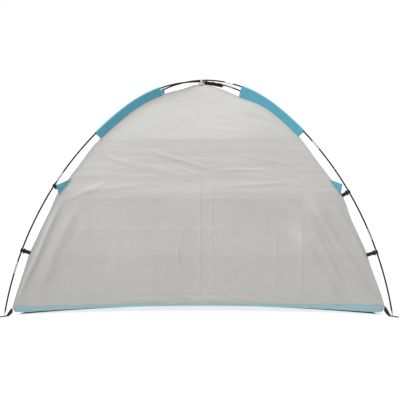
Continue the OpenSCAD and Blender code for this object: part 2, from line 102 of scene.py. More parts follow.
# Looks: thicknesses, then what the drawn seams, sleeves and poles add to the CAD's shapes
CLOTH, SLEEVE_THICK, GUSSET_THICK, FLOOR_CLOTH_THICK = 0.0007, 0.0006, 0.0010, 0.0009
TAPE, TAPE_EDGE = 0.0011, 0.55
RIDGE_GAP = 0.0006
SEAM_LIP, SEAM_LAP = 0.0002, 0.55
SEAM_IN, SEAM_OUT, SEAM_THICKNESS = 0.0012, 0.0045, 0.0013
SLEEVE_RADIUS, SLEEVE_SHARE, SLEEVE_WRAP = 0.0070, 0.42, 118
SLEEVE_FOLDS = ((0.030, 0.006, 0.0024), (0.052, 0.007, -0.0016), (0.078, 0.006, 0.0018),
                (0.12, 0.008, 0.0012), (0.21, 0.008, 0.0010), (0.33, 0.007, 0.0011))
POLE_CHAMFER = 0.0006
FERRULE_MARKS = (0.0003, 0.0008, 0.0055, 0.0062, 0.0072, 0.0079)
LOOP_HALF_WIDTH, LOOP_HALF_HEIGHT, LOOP_CORNER = 0.0195 / 2 + 0.0008, POLE_D + 0.001 + 0.0008, 0.0045
STITCH_SIZE, STITCH_PITCH = (0.0030, 0.0006, 0.0005), 0.0042
TACK_SIZE, TACK_PITCH = (0.0022, 0.0006, 0.0004), 0.0026
FLOOR_REACH = 60.0
UP = np.array([0.0, 0.0, 1.0])


# ---- the shape of the frame


def unit(v):
    return v / np.linalg.norm(v, axis=-1, keepdims=True)


def ease(a, b, x):
    t = np.clip((x - a) / (b - a), 0, 1)
    return t * t * (3 - 2 * t)


def bell(centre, width, x):
    return np.exp(-(((x - centre) / width) ** 2))


def taut(angle):
    """How far a straight line between two supports of the ridge lies inside the pole's bend."""
    depth = np.zeros_like(angle)
    for start, end in TAUT_SPANS:
        half = math.radians(end - start) / 2
        off = np.minimum(np.abs(np.radians(angle - start) - half), half)
        depth = np.maximum(depth, TAUT_SHARE * LEG_RADIUS * (1 - math.cos(half) / np.cos(off)))
    return depth


class Pole:
    """One pole's bend: a crown arc, then a flatter arc down each leg."""

    def __init__(self, upper):
        rise = CROWN_HEIGHT + (upper - 0.5) * (POLE_D + SECTION_GAP) - FOOT_Z
        drop = CROWN_RADIUS - rise
        step = LEG_RADIUS - CROWN_RADIUS
        total = (LEG_RADIUS**2 - HALF_SPAN**2 - drop**2 - step**2) / (2 * step)
        crown = math.asin(total / math.hypot(HALF_SPAN, drop)) - math.atan2(drop, HALF_SPAN)
        foot = math.atan2(HALF_SPAN + step * math.sin(crown), drop + step * math.cos(crown))
        self.crown_angle = math.degrees(crown)
        self.crown_centre = np.array([0, FOOT_Z + rise - CROWN_RADIUS])
        self.leg_centre = self.crown_centre - step * np.array([math.sin(crown), math.cos(crown)])
        self.crown_run = CROWN_RADIUS * crown
        self.half_run = self.crown_run + LEG_RADIUS * (foot - crown)

    def place(self, angle, inside):
        """[outward, height] at a station, a distance inside the pole."""
        on_crown = (angle <= self.crown_angle)[..., None]
        radius = np.where(on_crown, CROWN_RADIUS, LEG_RADIUS) - inside[..., None]
        rad = np.radians(angle)
        turn = np.stack([np.sin(rad), np.cos(rad)], -1)
        return np.where(on_crown, self.crown_centre, self.leg_centre) + radius * turn

    def station(self, run):
        """The station at a distance from the crown."""
        on_crown = run <= self.crown_run
        return np.where(
            on_crown,
            np.degrees(run / CROWN_RADIUS),
            self.crown_angle + np.degrees((run - self.crown_run) / LEG_RADIUS),
        )

    def run(self, angle):
        if angle <= self.crown_angle:
            return CROWN_RADIUS * math.radians(angle)
        return self.crown_run + LEG_RADIUS * math.radians(angle - self.crown_angle)


POLES = [Pole(0), Pole(1)]


class Leg:
    """Half a pole, from the crossing to one foot."""

    def __init__(self, name, direction, pole, side, slack=0.0):
        rad = math.radians(direction)
        self.name, self.pole, self.slack = name, POLES[pole], slack
        self.out = np.array([math.cos(rad), math.sin(rad), 0])
        self.across = side * np.array([-math.sin(rad), math.cos(rad), 0])
        self.upper_clip = UPPER_CLIP_REAR_LEFT if name == "rear_left" else UPPER_CLIP
        self.lower_clip = LOWER_CLIP_REAR_LEFT if name == "rear_left" else LOWER_CLIP
        drops = GUSSET_DROP_REAR_RIGHT if name == "rear_right" else (0, 0, 0)
        self.gusset = [station + drop for station, drop in zip(GUSSET_STATIONS, drops)]

    def place(self, angle, inside=0.0, aside=0.0):
        angle, inside, aside = np.broadcast_arrays(*(np.asarray(v, float) for v in (angle, inside, aside)))
        flat = self.pole.place(angle, inside)
        return flat[..., :1] * self.out + flat[..., 1:] * UP + aside[..., None] * self.across

    def gap(self, angle):
        """Distance from the pole in to the ridge seam."""
        angle = np.asarray(angle, float)
        pulled = ease(70, 79, angle)
        return (
            SLEEVE_GAP * ease(-6, WEB_START, angle)
            + (self.pole is POLES[1]) * (POLE_D + SECTION_GAP) * (1 - ease(0, WEB_START, angle))
            + (LEG_GAP - SLEEVE_GAP) * ease(45, 50, angle)
            + self.slack * (ease(59, 63, angle) - pulled)
            - HEM_PULL * pulled
            + (self.slack > 0) * DROOP * bell(DROOP_STATION, 9, angle)
            + taut(angle)
            - 0.006 * bell(GUSSET_PINCH, 1.8, angle)
        )

    def ridge(self, angle, inside=0.0, aside=0.0):
        angle = np.asarray(angle, float)
        return self.place(angle, self.gap(angle) + inside, aside)

    def downhill(self, angle):
        rad = np.radians(np.asarray(angle, float))[..., None]
        return np.cos(rad) * self.out - np.sin(rad) * UP

    def normal(self, angle):
        rad = np.radians(np.asarray(angle, float))[..., None]
        return np.sin(rad) * self.out + np.cos(rad) * UP


REAR_LEFT = Leg("rear_left", 180 + PLAN_ANGLE, 0, -1)
REAR_RIGHT = Leg("rear_right", -PLAN_ANGLE, 1, 1, EXTRA_SLACK)
FRONT_RIGHT = Leg("front_right", PLAN_ANGLE, 0, -1)
FRONT_LEFT = Leg("front_left", 180 - PLAN_ANGLE, 1, 1)
LEGS = [REAR_LEFT, REAR_RIGHT, FRONT_RIGHT, FRONT_LEFT]


def sag(angle, bows):
    roof, wall, hem = bows
    t = np.clip((angle - SEAM_ANGLE) / (HEM_ANGLE - SEAM_ANGLE), 0, None)
    above = roof * np.sin(np.pi * np.clip(angle / SEAM_ANGLE, 0, 1))
    above = above + ROOF_SHARE * roof * ease(0, SEAM_ANGLE, angle)
    below = ROOF_SHARE * roof * (1 - t) + wall * 4 * t * (1 - t) + hem * t * t
    return np.where(angle < SEAM_ANGLE, above, below)


def panel(a, b, angle, along, bows):
    """Places on a panel between two ridges, and its normals, which point into the shelter."""
    angle, along = np.broadcast_arrays(angle, along)
    first, last = a.ridge(angle), b.ridge(angle)
    normal = unit(np.cross(last - first, a.downhill(angle) + b.downhill(angle)))
    rule = first * ((1 - along) / 2)[..., None] + last * ((1 + along) / 2)[..., None]
    return rule + normal * (sag(angle, bows) * (1 - along**2))[..., None], normal


# ---- noise for cloth


def ripple(x, y, seed):
    """Smooth gradient noise, about -0.7 to 0.7, on a seeded lattice."""
    turn = np.random.RandomState(seed).uniform(0, 2 * np.pi, (64, 64))
    gx, gy = np.cos(turn), np.sin(turn)
    i, j = np.floor(x).astype(int), np.floor(y).astype(int)
    fx, fy = x - i, y - j
    sx, sy = (f * f * f * (f * (f * 6 - 15) + 10) for f in (fx, fy))

    def corner(di, dj):
        a, b = (i + di) % 64, (j + dj) % 64
        return gx[a, b] * (fx - di) + gy[a, b] * (fy - dj)

    low = corner(0, 0) * (1 - sx) + corner(1, 0) * sx
    high = corner(0, 1) * (1 - sx) + corner(1, 1) * sx
    return low * (1 - sy) + high * sy


def crumple(x, y, seed):
    """Flat facets between thin creases, as in coated cloth that was packed small."""
    bend = 0.35 * ripple(x * 0.7, y * 0.7, seed + 50)
    total = 0.0
    for octave in range(3):
        scale = 1.9**octave
        crease = np.abs(ripple((x + bend) * scale, (y - bend) * scale, seed + octave))
        total = total + (0.5 - crease) / scale**1.2
    return total - 0.6


def fold(x, y, start, end, width, height, lean=0.0):
    """A straight fold from start to end that dies out at both ends. lean makes one side steeper."""
    start, end = np.array(start), np.array(end)
    run = end - start
    length = np.hypot(*run)
    along = ((x - start[0]) * run[0] + (y - start[1]) * run[1]) / length**2
    aside = ((x - start[0]) * run[1] - (y - start[1]) * run[0]) / length
    aside = aside + 0.25 * width * ripple(along * 3 + 7, along * 0 + start[0] * 9, 91)
    shape = np.exp(-((aside / width) ** 2)) * (1 + lean * np.tanh(aside / width))
    return height * shape * ease(-0.05, 0.25, along) * (1 - ease(0.7, 1.08, along))


# ---- meshes


def linked(name, data):
    obj = bpy.data.objects.new(name, data)
    bpy.context.scene.collection.objects.link(obj)
    return obj


def add_object(name, drawn, material, node=None):
    """A piece from its (points, faces, uv), in place of a CAD node where one is named."""
    points, faces, uv = drawn
    mesh = bpy.data.meshes.new(name)
    mesh.from_pydata(np.asarray(points, float).tolist(), [], faces)
    mesh.validate()
    mesh.update()
    mesh.polygons.foreach_set("use_smooth", np.ones(len(mesh.polygons), bool))
    if uv is not None:
        layer = mesh.uv_layers.new(name="Cloth")
        corner = np.empty(len(mesh.loops), int)
        mesh.loops.foreach_get("vertex_index", corner)
        layer.data.foreach_set("uv", np.asarray(uv, np.float32)[corner].ravel())
    mesh.materials.append(material)
    obj = linked(name, mesh)
    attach(obj, BODY)
    if node is not None:
        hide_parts(node)
    return obj


def grid_faces(rows, cols, flip=False, wrap=False, loop=False):
    """Quads over a grid of places. wrap joins its last column to the first, and loop its last row."""
    r, c = np.arange(rows if loop else rows - 1), np.arange(cols if wrap else cols - 1)
    r, c = np.meshgrid(r, c, indexing="ij")
    down, on = (r + 1) % rows, (c + 1) % cols
    quads = np.stack([r * cols + c, r * cols + on, down * cols + on, down * cols + c], -1).reshape(-1, 4)
    return (quads[:, ::-1] if flip else quads).tolist()


def run_along(points, axis=0):
    """Each place's distance along a path, or along a grid's rows or columns."""
    step = np.linalg.norm(np.diff(points, axis=axis), axis=-1)
    pad = [(1, 0) if k == axis else (0, 0) for k in range(step.ndim)]
    return np.cumsum(np.pad(step, pad), axis=axis)


def cloth(name, points, material, node=None, flip=False, thickness=CLOTH):
    """A sheet of cloth from a grid of places, with its own thickness and threads that follow it."""
    rows, cols = points.shape[:2]
    u = run_along(points, 1)
    u = u - u[:, cols // 2][:, None]
    v = run_along(points)[:, cols // 2][:, None] + 0 * u
    uv = np.stack([u, v], -1).reshape(-1, 2)
    obj = add_object(name, (points.reshape(-1, 3), grid_faces(rows, cols, flip), uv), material, node)
    thick = obj.modifiers.new("thickness", "SOLIDIFY")
    thick.thickness, thick.offset = thickness, 0.0
    obj.modifiers.new("even_shading", "WEIGHTED_NORMAL").weight = 100


def tube(path, normal, side, radii_out, radius_in, sides):
    """A straight-walled tube along a path, with its end edges turned in. radii_out is per place."""
    turn = np.arange(sides) * 2 * np.pi / sides
    ring = np.cos(turn)[:, None] * normal[:, None, :] + np.sin(turn)[:, None] * side[:, None, :]
    outer = path[:, None, :] + ring * radii_out[:, None, None]
    inner = path[:, None, :] + ring * radius_in
    rings = np.concatenate([inner[:1], outer, inner[::-1]], 0)
    return rings.reshape(-1, 3), grid_faces(len(rings), sides, wrap=True, loop=True), None


def beside(pole, direction, run):
    """The pole's centre line and its normals at distances from the crown, negative on the other half."""
    rad = math.radians(direction)
    out = np.array([math.cos(rad), math.sin(rad), 0])
    side = np.array([-math.sin(rad), math.cos(rad), 0])
    sign = np.where(run < 0, -1.0, 1.0)
    angle = pole.station(np.abs(run))
    flat = pole.place(angle, np.zeros_like(angle))
    place = (sign * flat[:, 0])[:, None] * out + flat[:, 1:] * UP
    turn = np.radians(angle)
    normal = (sign * np.sin(turn))[:, None] * out + np.cos(turn)[:, None] * UP
    return place, normal, np.broadcast_to(side, place.shape)


def sample(want, run, values):
    """Rows of values given at distances along a path, read at other distances."""
    return np.stack([np.interp(want, run, values[:, k]) for k in range(3)], -1)


def ribbon_mesh(path, across, width, thick, sides=7, cup=0.0, closed=False):
    """A woven tape along a path: a flat section with full edges. across points to one edge."""
    path, across = np.asarray(path, float), unit(np.asarray(across, float))
    ahead = np.roll(path, -1, 0) - np.roll(path, 1, 0)
    if not closed:
        ahead[0], ahead[-1] = path[1] - path[0], path[-1] - path[-2]
    face = unit(np.cross(ahead, across))
    s = np.linspace(-1, 1, sides)
    half = thick / 2 * np.where(np.abs(s) > 0.99, TAPE_EDGE, 1.0)
    outline = np.concatenate([np.stack([s * width / 2, half + cup * s**2], -1),
                              np.stack([s[::-1] * width / 2, -half[::-1] + cup * s[::-1] ** 2], -1)])
    aside, out = outline[None, :, :1] * across[:, None, :], outline[None, :, 1:] * face[:, None, :]
    rings = path[:, None, :] + aside + out
    n, m = len(path), len(outline)
    uv = np.stack(np.broadcast_arrays(outline[None, :, 0], run_along(path)[:, None]), -1).reshape(-1, 2)
    faces = grid_faces(n, m, wrap=True, loop=closed)
    if not closed:
        faces += [list(range(m))[::-1], list(range((n - 1) * m, n * m))]
    return rings.reshape(-1, 3), faces, uv


def join(parts):
    """Several (points, faces, uv) as one."""
    points, faces, uvs, count = [], [], [], 0
    for p, f, t in parts:
        points.append(p)
        uvs.append(t)
        faces += [[i + count for i in face] for face in f]
        count += len(p)
    return np.concatenate(points), faces, None if uvs[0] is None else np.concatenate(uvs)


def smooth_path(points, count):
    """A Catmull-Rom curve through the points, sampled evenly."""
    p = np.asarray(points, float)
    p = np.concatenate([[2 * p[0] - p[1]], p, [2 * p[-1] - p[-2]]])
    fine = []
    for i in range(1, len(p) - 2):
        t = np.linspace(0, 1, 24, endpoint=False)[:, None]
        a, b, c, d = p[i - 1 : i + 3]
        square, cube = 2 * a - 5 * b + 4 * c - d, 3 * b - a - 3 * c + d
        fine.append(0.5 * (2 * b + (c - a) * t + square * t**2 + cube * t**3))
    fine = np.concatenate(fine + [p[-2:-1]])
    run = run_along(fine)
    return sample(np.linspace(0, run[-1], count), run, fine)


STITCH = np.array([[-.5, 0, -.3], [-.34, .5, 0], [-.34, 0, .8], [-.34, -.5, 0],
                   [.34, .5, 0], [.34, 0, .8], [.34, -.5, 0], [.5, 0, -.3]])
STITCH_FACES = [[0, 2, 1], [0, 3, 2], [1, 2, 5, 4], [2, 3, 6, 5],
                [4, 5, 7], [5, 6, 7], [0, 1, 4, 7], [0, 7, 6, 3]]


def stitch_mesh(lines, pitch, size):
    """Lock stitches along lines. Each line is (path, normals), and size is a stitch's three sizes."""
    points, faces, count = [], [], 0
    for path, normals in lines:
        run = run_along(path)
        mid = np.arange(pitch / 2, run[-1], pitch)
        at = sample(mid, run, path)
        t = unit(sample(np.minimum(mid + 0.001, run[-1]), run, path) - sample(mid - 0.001, run, path))
        n = sample(mid, run, normals)
        n = unit(n - t * (n * t).sum(-1, keepdims=True))
        long, wide, high = (STITCH * size).T[..., None]
        here = at[:, None] + long * t[:, None] + wide * np.cross(n, t)[:, None] + high * n[:, None]
        points.append(here.reshape(-1, 3))
        for k in range(len(mid)):
            faces += [[count + 8 * k + i for i in f] for f in STITCH_FACES]
        count += 8 * len(mid)
    return np.concatenate(points), faces, None


# ---- materials


class Graph:
    """A material's nodes, ended by a Principled BSDF. A value is a number, a colour or (node, output)."""

    def __init__(self, name, **sockets):
        self.material = bpy.data.materials.new(name)
        self.material.use_nodes = True
        self.tree = self.material.node_tree
        self.shader, self.output = (self.tree.nodes[node] for node in ("Principled BSDF", "Material Output"))
        for key, value in sockets.items():
            self.shader.inputs[key.replace("_", " ")].default_value = value

    def add(self, kind, inputs, **settings):
        node = self.tree.nodes.new(kind)
        for key, value in settings.items():
            setattr(node, key, value)
        for key, value in inputs.items():
            self.feed(node, key, value)
        return node

    def feed(self, node, key, value):
        if isinstance(value, tuple) and isinstance(value[0], bpy.types.Node):
            self.tree.links.new(value[0].outputs[value[1]], node.inputs[key])
        elif value is not None:
            node.inputs[key].default_value = value

    def thread_coords(self):
        return (self.add("ShaderNodeUVMap", {}, uv_map="Cloth"), "UV")

    def object_coords(self):
        return (self.add("ShaderNodeTexCoord", {}), "Object")

    def mapped(self, source, scale):
        return (self.add("ShaderNodeMapping", {"Vector": source, "Scale": scale}), "Vector")

    def noise(self, vector, scale, detail=2.0, rough=0.5):
        inputs = {"Vector": vector, "Scale": scale, "Detail": detail, "Roughness": rough}
        return (self.add("ShaderNodeTexNoise", inputs), "Fac")

    def wave(self, vector, scale, direction="X", distortion=0.0):
        inputs = {"Vector": vector, "Scale": scale, "Distortion": distortion}
        return (self.add("ShaderNodeTexWave", inputs, wave_type="BANDS", bands_direction=direction), "Fac")

    def math(self, operation, a, b):
        return (self.add("ShaderNodeMath", {0: a, 1: b}, operation=operation), "Value")

    def spread(self, fac, low, high, start=0.3, end=0.7):
        inputs = {"Value": fac, "From Min": start, "From Max": end, "To Min": low, "To Max": high}
        return (self.add("ShaderNodeMapRange", inputs), "Result")

    def ramp(self, fac, *stops):
        node = self.add("ShaderNodeValToRGB", {"Fac": fac})
        for element, (place, colour) in zip(node.color_ramp.elements, stops):
            element.position = place
            element.color = (*colour, 1)
        return (node, "Color")

    def mix(self, fac, a, b):
        a, b = (c if isinstance(c[0], bpy.types.Node) else (*c, 1) for c in (a, b))
        return (self.add("ShaderNodeMix", {0: fac, 6: a, 7: b}, data_type="RGBA"), 2)

    def bump(self, height, strength, distance, before=None):
        inputs = {"Height": height, "Strength": strength, "Distance": distance, "Normal": before}
        return (self.add("ShaderNodeBump", inputs), "Normal")

    def finish(self, colour, rough, normal=None):
        for key, value in (("Base Color", colour), ("Roughness", rough), ("Normal", normal)):
            self.feed(self.shader, key, value)
        return self.material

    def glow_through(self, share, colour):
        """Light that comes through thin cloth from behind."""
        through = self.add("ShaderNodeBsdfTranslucent", {"Color": (*colour, 1)})
        both = self.add("ShaderNodeMixShader", {0: share, 1: (self.shader, "BSDF"), 2: (through, "BSDF")})
        self.feed(self.output, "Surface", (both, "Shader"))


def tint(colour, k):
    return tuple(min(1.0, c * k) for c in colour)


def woven(name, colour, through, share, sheen, threads=330.0, crease=0.35):
    """Coated plain-weave polyester."""
    g = Graph(name, Sheen_Weight=sheen, Sheen_Roughness=0.45, Specular_IOR_Level=0.42)
    own = g.thread_coords()
    body = g.object_coords()
    weave = g.math("MAXIMUM", g.wave(own, threads, "X", 0.4), g.wave(own, threads, "Y", 0.4))
    slub, slub_down = (g.noise(g.mapped(own, scale), 1.0, 3.0) for scale in ((6.0, 900.0, 1.0), (900.0, 6.0, 1.0)))
    cloud = g.noise(body, 3.2, 4.0, 0.55)
    crinkle = g.noise(body, 42.0, 5.0, 0.62)
    tone = g.ramp(cloud, (0.3, tint(colour, 0.965)), (0.7, tint(colour, 1.03)))
    streak = g.math("ADD", slub, slub_down)
    tone = g.mix(g.spread(streak, 0.0, 0.10, 0.85, 1.15), tone, tint(colour, 0.8))
    # painted shade: the gaps between the threads are painted a little darker
    tone = g.mix(g.spread(weave, 0.10, 0.0, 0.2, 0.9), tone, tint(colour, 0.7))
    normal = g.bump(crinkle, crease, 0.0012, g.bump(weave, 0.25, 0.00012))
    normal = g.bump(g.noise(body, 160.0, 3.0), 0.18, 0.0004, normal)
    g.finish(tone, g.spread(crinkle, 0.55, 0.70), normal)
    g.glow_through(share, through)
    return g.material


def webbing_material(name, colour, light):
    """Ribbed webbing. Its rib tops are painted lighter than the grooves between them, a painted highlight and
    painted shade, and lighter fuzz is flecked over it.
    """
    g = Graph(name, Sheen_Weight=0.06, Sheen_Roughness=0.4, Specular_IOR_Level=0.2)
    own = g.thread_coords()
    rib = g.wave(own, 210.0, "Y", 0.6)
    cross = g.wave(own, 160.0, "X", 0.3)
    height = g.math("MULTIPLY", rib, g.spread(cross, 0.6, 1.0, 0.0, 1.0))
    fuzz = g.noise(own, 1400.0)
    # painted highlight and shade: the raised ribs are painted towards the lighter colour, the grooves stay darker
    tone = g.mix(g.spread(height, 0.0, 0.6, 0.0, 1.0), colour, light)
    tone = g.mix(g.spread(fuzz, 0.0, 0.25), tone, tint(light, 1.6))
    normal = g.bump(height, 0.6, 0.0004)
    return g.finish(tone, g.spread(fuzz, 0.62, 0.85), normal)


def plain(name, colour, rough, grain_scale, grain_depth, streak=None, metallic=0.0, vary=0.12, **sockets):
    """A hard surface with grain or drawn streaks, and a colour that isn't quite even."""
    g = Graph(name, Metallic=metallic, **sockets)
    body = g.object_coords()
    source = g.mapped(body, streak) if streak else body
    grain = g.noise(source, grain_scale, 4.0, 0.6)
    cloud = g.noise(body, 9.0, 3.0)
    wear = g.noise(body, 60.0, 5.0, 0.7)
    tone = g.ramp(cloud, (0.3, tint(colour, 1 - vary)), (0.7, tint(colour, 1 + vary)))
    tone = g.mix(g.spread(wear, 0.0, 0.35, 0.6, 0.8), tone, tint(colour, 1.5))
    lo, hi = rough
    return g.finish(tone, g.spread(grain, lo, hi), g.bump(grain, 0.35, grain_depth))


GREY = (0.505, 0.497, 0.476)
GREY_THROUGH = (0.62, 0.605, 0.575)
BLUE = (0.115, 0.43, 0.545)
BLUE_THROUGH = (0.22, 0.72, 0.86)
FILM = (0.30, 0.47, 0.51)
FILM_THROUGH = (0.30, 0.52, 0.57)

CANOPY = woven("grey_polyester", GREY, GREY_THROUGH, 0.16, 0.12)
SLEEVE = woven("blue_polyester", BLUE, BLUE_THROUGH, 0.30, 0.15, crease=0.5)
FLOOR_CLOTH = woven("coated_floor_cloth", FILM, FILM_THROUGH, 0.05, 0.0, threads=120.0)
WEBBING = webbing_material("black_webbing", (0.011, 0.011, 0.012), (0.035, 0.035, 0.038))
GREY_TAPE = webbing_material("grey_tape", (0.50, 0.50, 0.49), (0.68, 0.68, 0.67))
FIBREGLASS = plain("black_fibreglass", (0.012, 0.012, 0.014), (0.44, 0.60), 1.0, 0.0001, (900, 900, 900),
                   Specular_IOR_Level=0.15)
FERRULE = plain("drawn_ferrule", (0.50, 0.50, 0.515), (0.26, 0.44), 1.0, 0.00005, (700, 700, 700), 1.0, 0.06)
TIP = plain("turned_tip", (0.52, 0.52, 0.54), (0.25, 0.45), 1.0, 0.00005, (200, 200, 2500), 1.0, 0.06)
EYELET = plain("plated_eyelet", (0.66, 0.66, 0.68), (0.14, 0.34), 900.0, 0.00004, None, 1.0, 0.05)
MOULDED = plain("moulded_clip", (0.017, 0.017, 0.019), (0.42, 0.6), 1600.0, 0.00012, Specular_IOR_Level=0.4)
THREAD_GREY = plain("grey_thread", (0.49, 0.48, 0.455), (0.6, 0.8), 2500.0, 0.0001)
THREAD_BLUE = plain("blue_thread", (0.05, 0.27, 0.36), (0.6, 0.8), 2500.0, 0.0001)
THREAD_BLACK = plain("black_thread", (0.02, 0.02, 0.022), (0.55, 0.75), 2500.0, 0.0001)


def elastic():
    g = Graph("braided_elastic")
    body = g.object_coords()
    a = g.wave(body, 120.0, "DIAGONAL")
    b = g.wave(g.mapped(body, (-1, 1, 1)), 120.0, "DIAGONAL")
    braid = g.math("MULTIPLY", a, b)
    tone = g.ramp(braid, (0.1, (0.3, 0.3, 0.3)), (0.5, (0.75, 0.75, 0.74)))
    return g.finish(tone, 0.8, g.bump(braid, 0.5, 0.0003))


ELASTIC = elastic()

# ---- canopy panels


def arched(bottom, lift, along):
    """The station of a lower edge that arches up by some degrees in the middle."""
    return bottom - lift * (1 - along**2)


class Panel:
    """A canopy panel between two ridges, pushed out along its normals by relief(places, angle, along)."""

    def __init__(self, node, a, b, side, top, bottom, bows, rows, cols, relief, arch=0.0, rise=None):
        self.node, self.a, self.b, self.side, self.bows = node, a, b, side, bows
        self.top, self.bottom, self.rows, self.cols = top, bottom, rows, cols
        self.relief, self.arch = relief, arch
        cloth(node.replace("_panel", "") + "_cloth", self.grid(rise), CANOPY, node, flip=True)

    def half_width(self, angle):
        return np.linalg.norm(self.b.ridge(angle) - self.a.ridge(angle), axis=-1) / 2

    def pushed(self, angle, along, lift):
        """Places on the cloth, its outward normals and how free it is of the ridge beside it."""
        places, normal = panel(self.a, self.b, angle, along, self.bows)
        angle, along = np.broadcast_arrays(angle, along)
        fade = ease(0, 0.02, (1 - np.abs(along)) * self.half_width(angle))
        out = self.relief(places, angle, along) * fade + lift
        return places - normal * out[..., None], -normal, fade[..., None]

    def grid(self, rise):
        along = np.linspace(-1, 1, self.cols)[None, :]
        v = np.linspace(0, 1, self.rows)[:, None]
        angle = self.top + (arched(self.bottom, self.arch, along) - self.top) * v
        places, _, fade = self.pushed(angle, along, rise(angle) if rise else 0.0)
        ridge = np.where(along[..., None] < 0, self.a.across, self.b.across)
        return places + (1 - fade) * RIDGE_GAP * (self.side * ridge)

    def line(self, angle, along, lift):
        """A line over the cloth, with its normals."""
        return self.pushed(angle, along, lift)[:2]


# folds: start and end as (across, height), width, height and lean
REAR_FOLDS = [
    ((-0.61, 0.88), (-0.35, 0.795), 0.010, 0.0030, 0.3),
    ((-0.29, 0.885), (0.10, 0.775), 0.011, 0.0034, 0.4),
    ((0.06, 0.775), (0.42, 0.782), 0.009, 0.0030, -0.3),
    ((-0.45, 0.84), (-0.05, 0.73), 0.014, 0.0020, 0.2),
    ((0.20, 0.87), (0.55, 0.80), 0.010, 0.0018),
    ((-0.15, 0.80), (0.02, 0.745), 0.008, 0.0018),
    ((-0.66, 0.66), (-0.30, 0.70), 0.012, 0.0020),
    ((0.10, 0.68), (0.50, 0.71), 0.010, 0.0018),
    ((0.001, 0.77), (0.004, 0.03), 0.006, 0.0017),
    ((0.070, 0.72), (0.074, 0.06), 0.006, 0.0012, 0.4),
    ((-0.13, 0.40), (-0.10, 0.18), 0.006, 0.0016),
    ((-0.09, 0.46), (-0.13, 0.26), 0.006, 0.0014),
    ((0.430, 0.50), (0.420, 0.04), 0.006, 0.0014),
    ((0.575, 0.52), (0.560, 0.05), 0.007, 0.0018, 0.3),
    ((-0.45, 0.58), (-0.47, 0.05), 0.006, 0.0008),
    ((-0.80, 0.622), (0.80, 0.618), 0.006, 0.0008),
    ((-0.90, 0.452), (0.55, 0.447), 0.006, 0.0009),
    ((-0.95, 0.29), (0.60, 0.285), 0.006, 0.0006),
    ((0.60, 0.64), (0.97, 0.08), 0.034, 0.0150, 0.5),
    ((0.52, 0.46), (0.78, 0.03), 0.036, 0.0115, -0.3),
    ((0.72, 0.62), (0.99, 0.22), 0.022, 0.0075),
    ((0.64, 0.52), (0.86, 0.06), 0.016, -0.0060),
    ((-0.76, 0.62), (-0.985, 0.07), 0.015, 0.0060, 0.6),
    ((-0.68, 0.60), (-0.88, 0.10), 0.030, 0.0050, 0.2),
    ((-0.70, 0.66), (-0.60, 0.38), 0.030, 0.0034),
    ((-0.50, 0.72), (-0.78, 0.60), 0.014, 0.0028),
    # along the hem
    ((-0.12, 0.09), (0.03, 0.05), 0.008, 0.0022),
    ((0.02, 0.08), (0.20, 0.045), 0.008, 0.0026, 0.2),
    ((0.16, 0.085), (0.34, 0.055), 0.007, 0.0022),
    ((-0.40, 0.07), (-0.16, 0.06), 0.008, 0.0016),
]


def mirrored(out, x, z, *folds):
    """Adds folds to out on both sides of the middle."""
    for sign in (-1, 1):
        for (x0, z0), (x1, z1), *size in folds:
            out = out + fold(x, z, (sign * x0, z0), (sign * x1, z1), *size)
    return out


def at_seam(angle):
    """Folds die out at the cross seam, where both panels are held flat."""
    return 1 - bell(SEAM_ANGLE, 1.5, angle)


def rear_wall_relief(p, angle, along):
    x, z = p[..., 0], p[..., 2]
    high, low, below = bell(0.80, 0.17, z), 1 - ease(0.45, 0.70, z), 1 - ease(0.02, 0.14, z)
    side = ease(0.45, 0.95, np.abs(x))
    out = (
        1.35 * sum(fold(x, z, *f) for f in REAR_FOLDS)
        + 0.0034 * high * ripple(x * 3.2 + 5, z * 26 + 2, 11)
        + 0.0016 * high * ripple(x * 9 + 1.6 * ripple(x * 2, z * 3, 4), z * 60, 12)
        + 0.0040 * low * ripple(x * 4.4 + 3 * z, z * 2.2, 13)
        + 0.0024 * crumple(x * 11, z * 9, 14) * (0.6 + 0.4 * low)
        + 0.0030 * side * ripple((x + 0.55 * np.sign(x) * z) * 11, z * 2.5, 15)
        + 0.0022 * below * ripple(x * 17, z * 9, 16)
    )
    return out * at_seam(angle)


ROOF_FOLDS = [
    ((0.02, 1.165), (0.34, 1.085), 0.013, 0.0040, 0.3),
    ((0.03, 1.120), (0.46, 1.010), 0.015, 0.0046, 0.4),
    ((0.05, 1.070), (0.52, 0.975), 0.014, 0.0036),
    ((0.20, 1.150), (0.48, 1.045), 0.012, 0.0036, 0.2),
    ((0.03, 1.215), (0.22, 1.160), 0.010, 0.0030),
    ((0.02, 1.020), (0.40, 0.985), 0.012, 0.0022),
    ((-0.05, 1.10), (-0.38, 1.02), 0.020, 0.0026),
    ((-0.04, 1.18), (-0.24, 1.13), 0.012, 0.0020),
    ((-0.10, 1.04), (-0.50, 0.97), 0.016, 0.0020),
    ((0.000, 1.285), (0.002, 1.04), 0.018, -0.0012),
    ((0.30, 1.000), (0.60, 0.955), 0.012, 0.0028),
]


def rear_roof_relief(p, angle, along):
    x, z = p[..., 0], p[..., 2]
    right, slant = 0.45 + 0.55 * ease(-0.1, 0.25, x), z + 0.22 * np.abs(x)
    out = (
        sum(fold(x, z, *f) for f in ROOF_FOLDS)
        + 0.0030 * right * ripple(x * 3.0, slant * 24, 21)
        + 0.0012 * right * ripple(x * 8, slant * 55, 22)
        + 0.0010 * crumple(x * 10, z * 10, 23)
    )
    return out * ease(APEX_ANGLE, 14, angle) * at_seam(angle)


def seam_lip(angle):
    return SEAM_LIP * ease(SEAM_ANGLE - 1.6, SEAM_ANGLE - 0.4, angle)


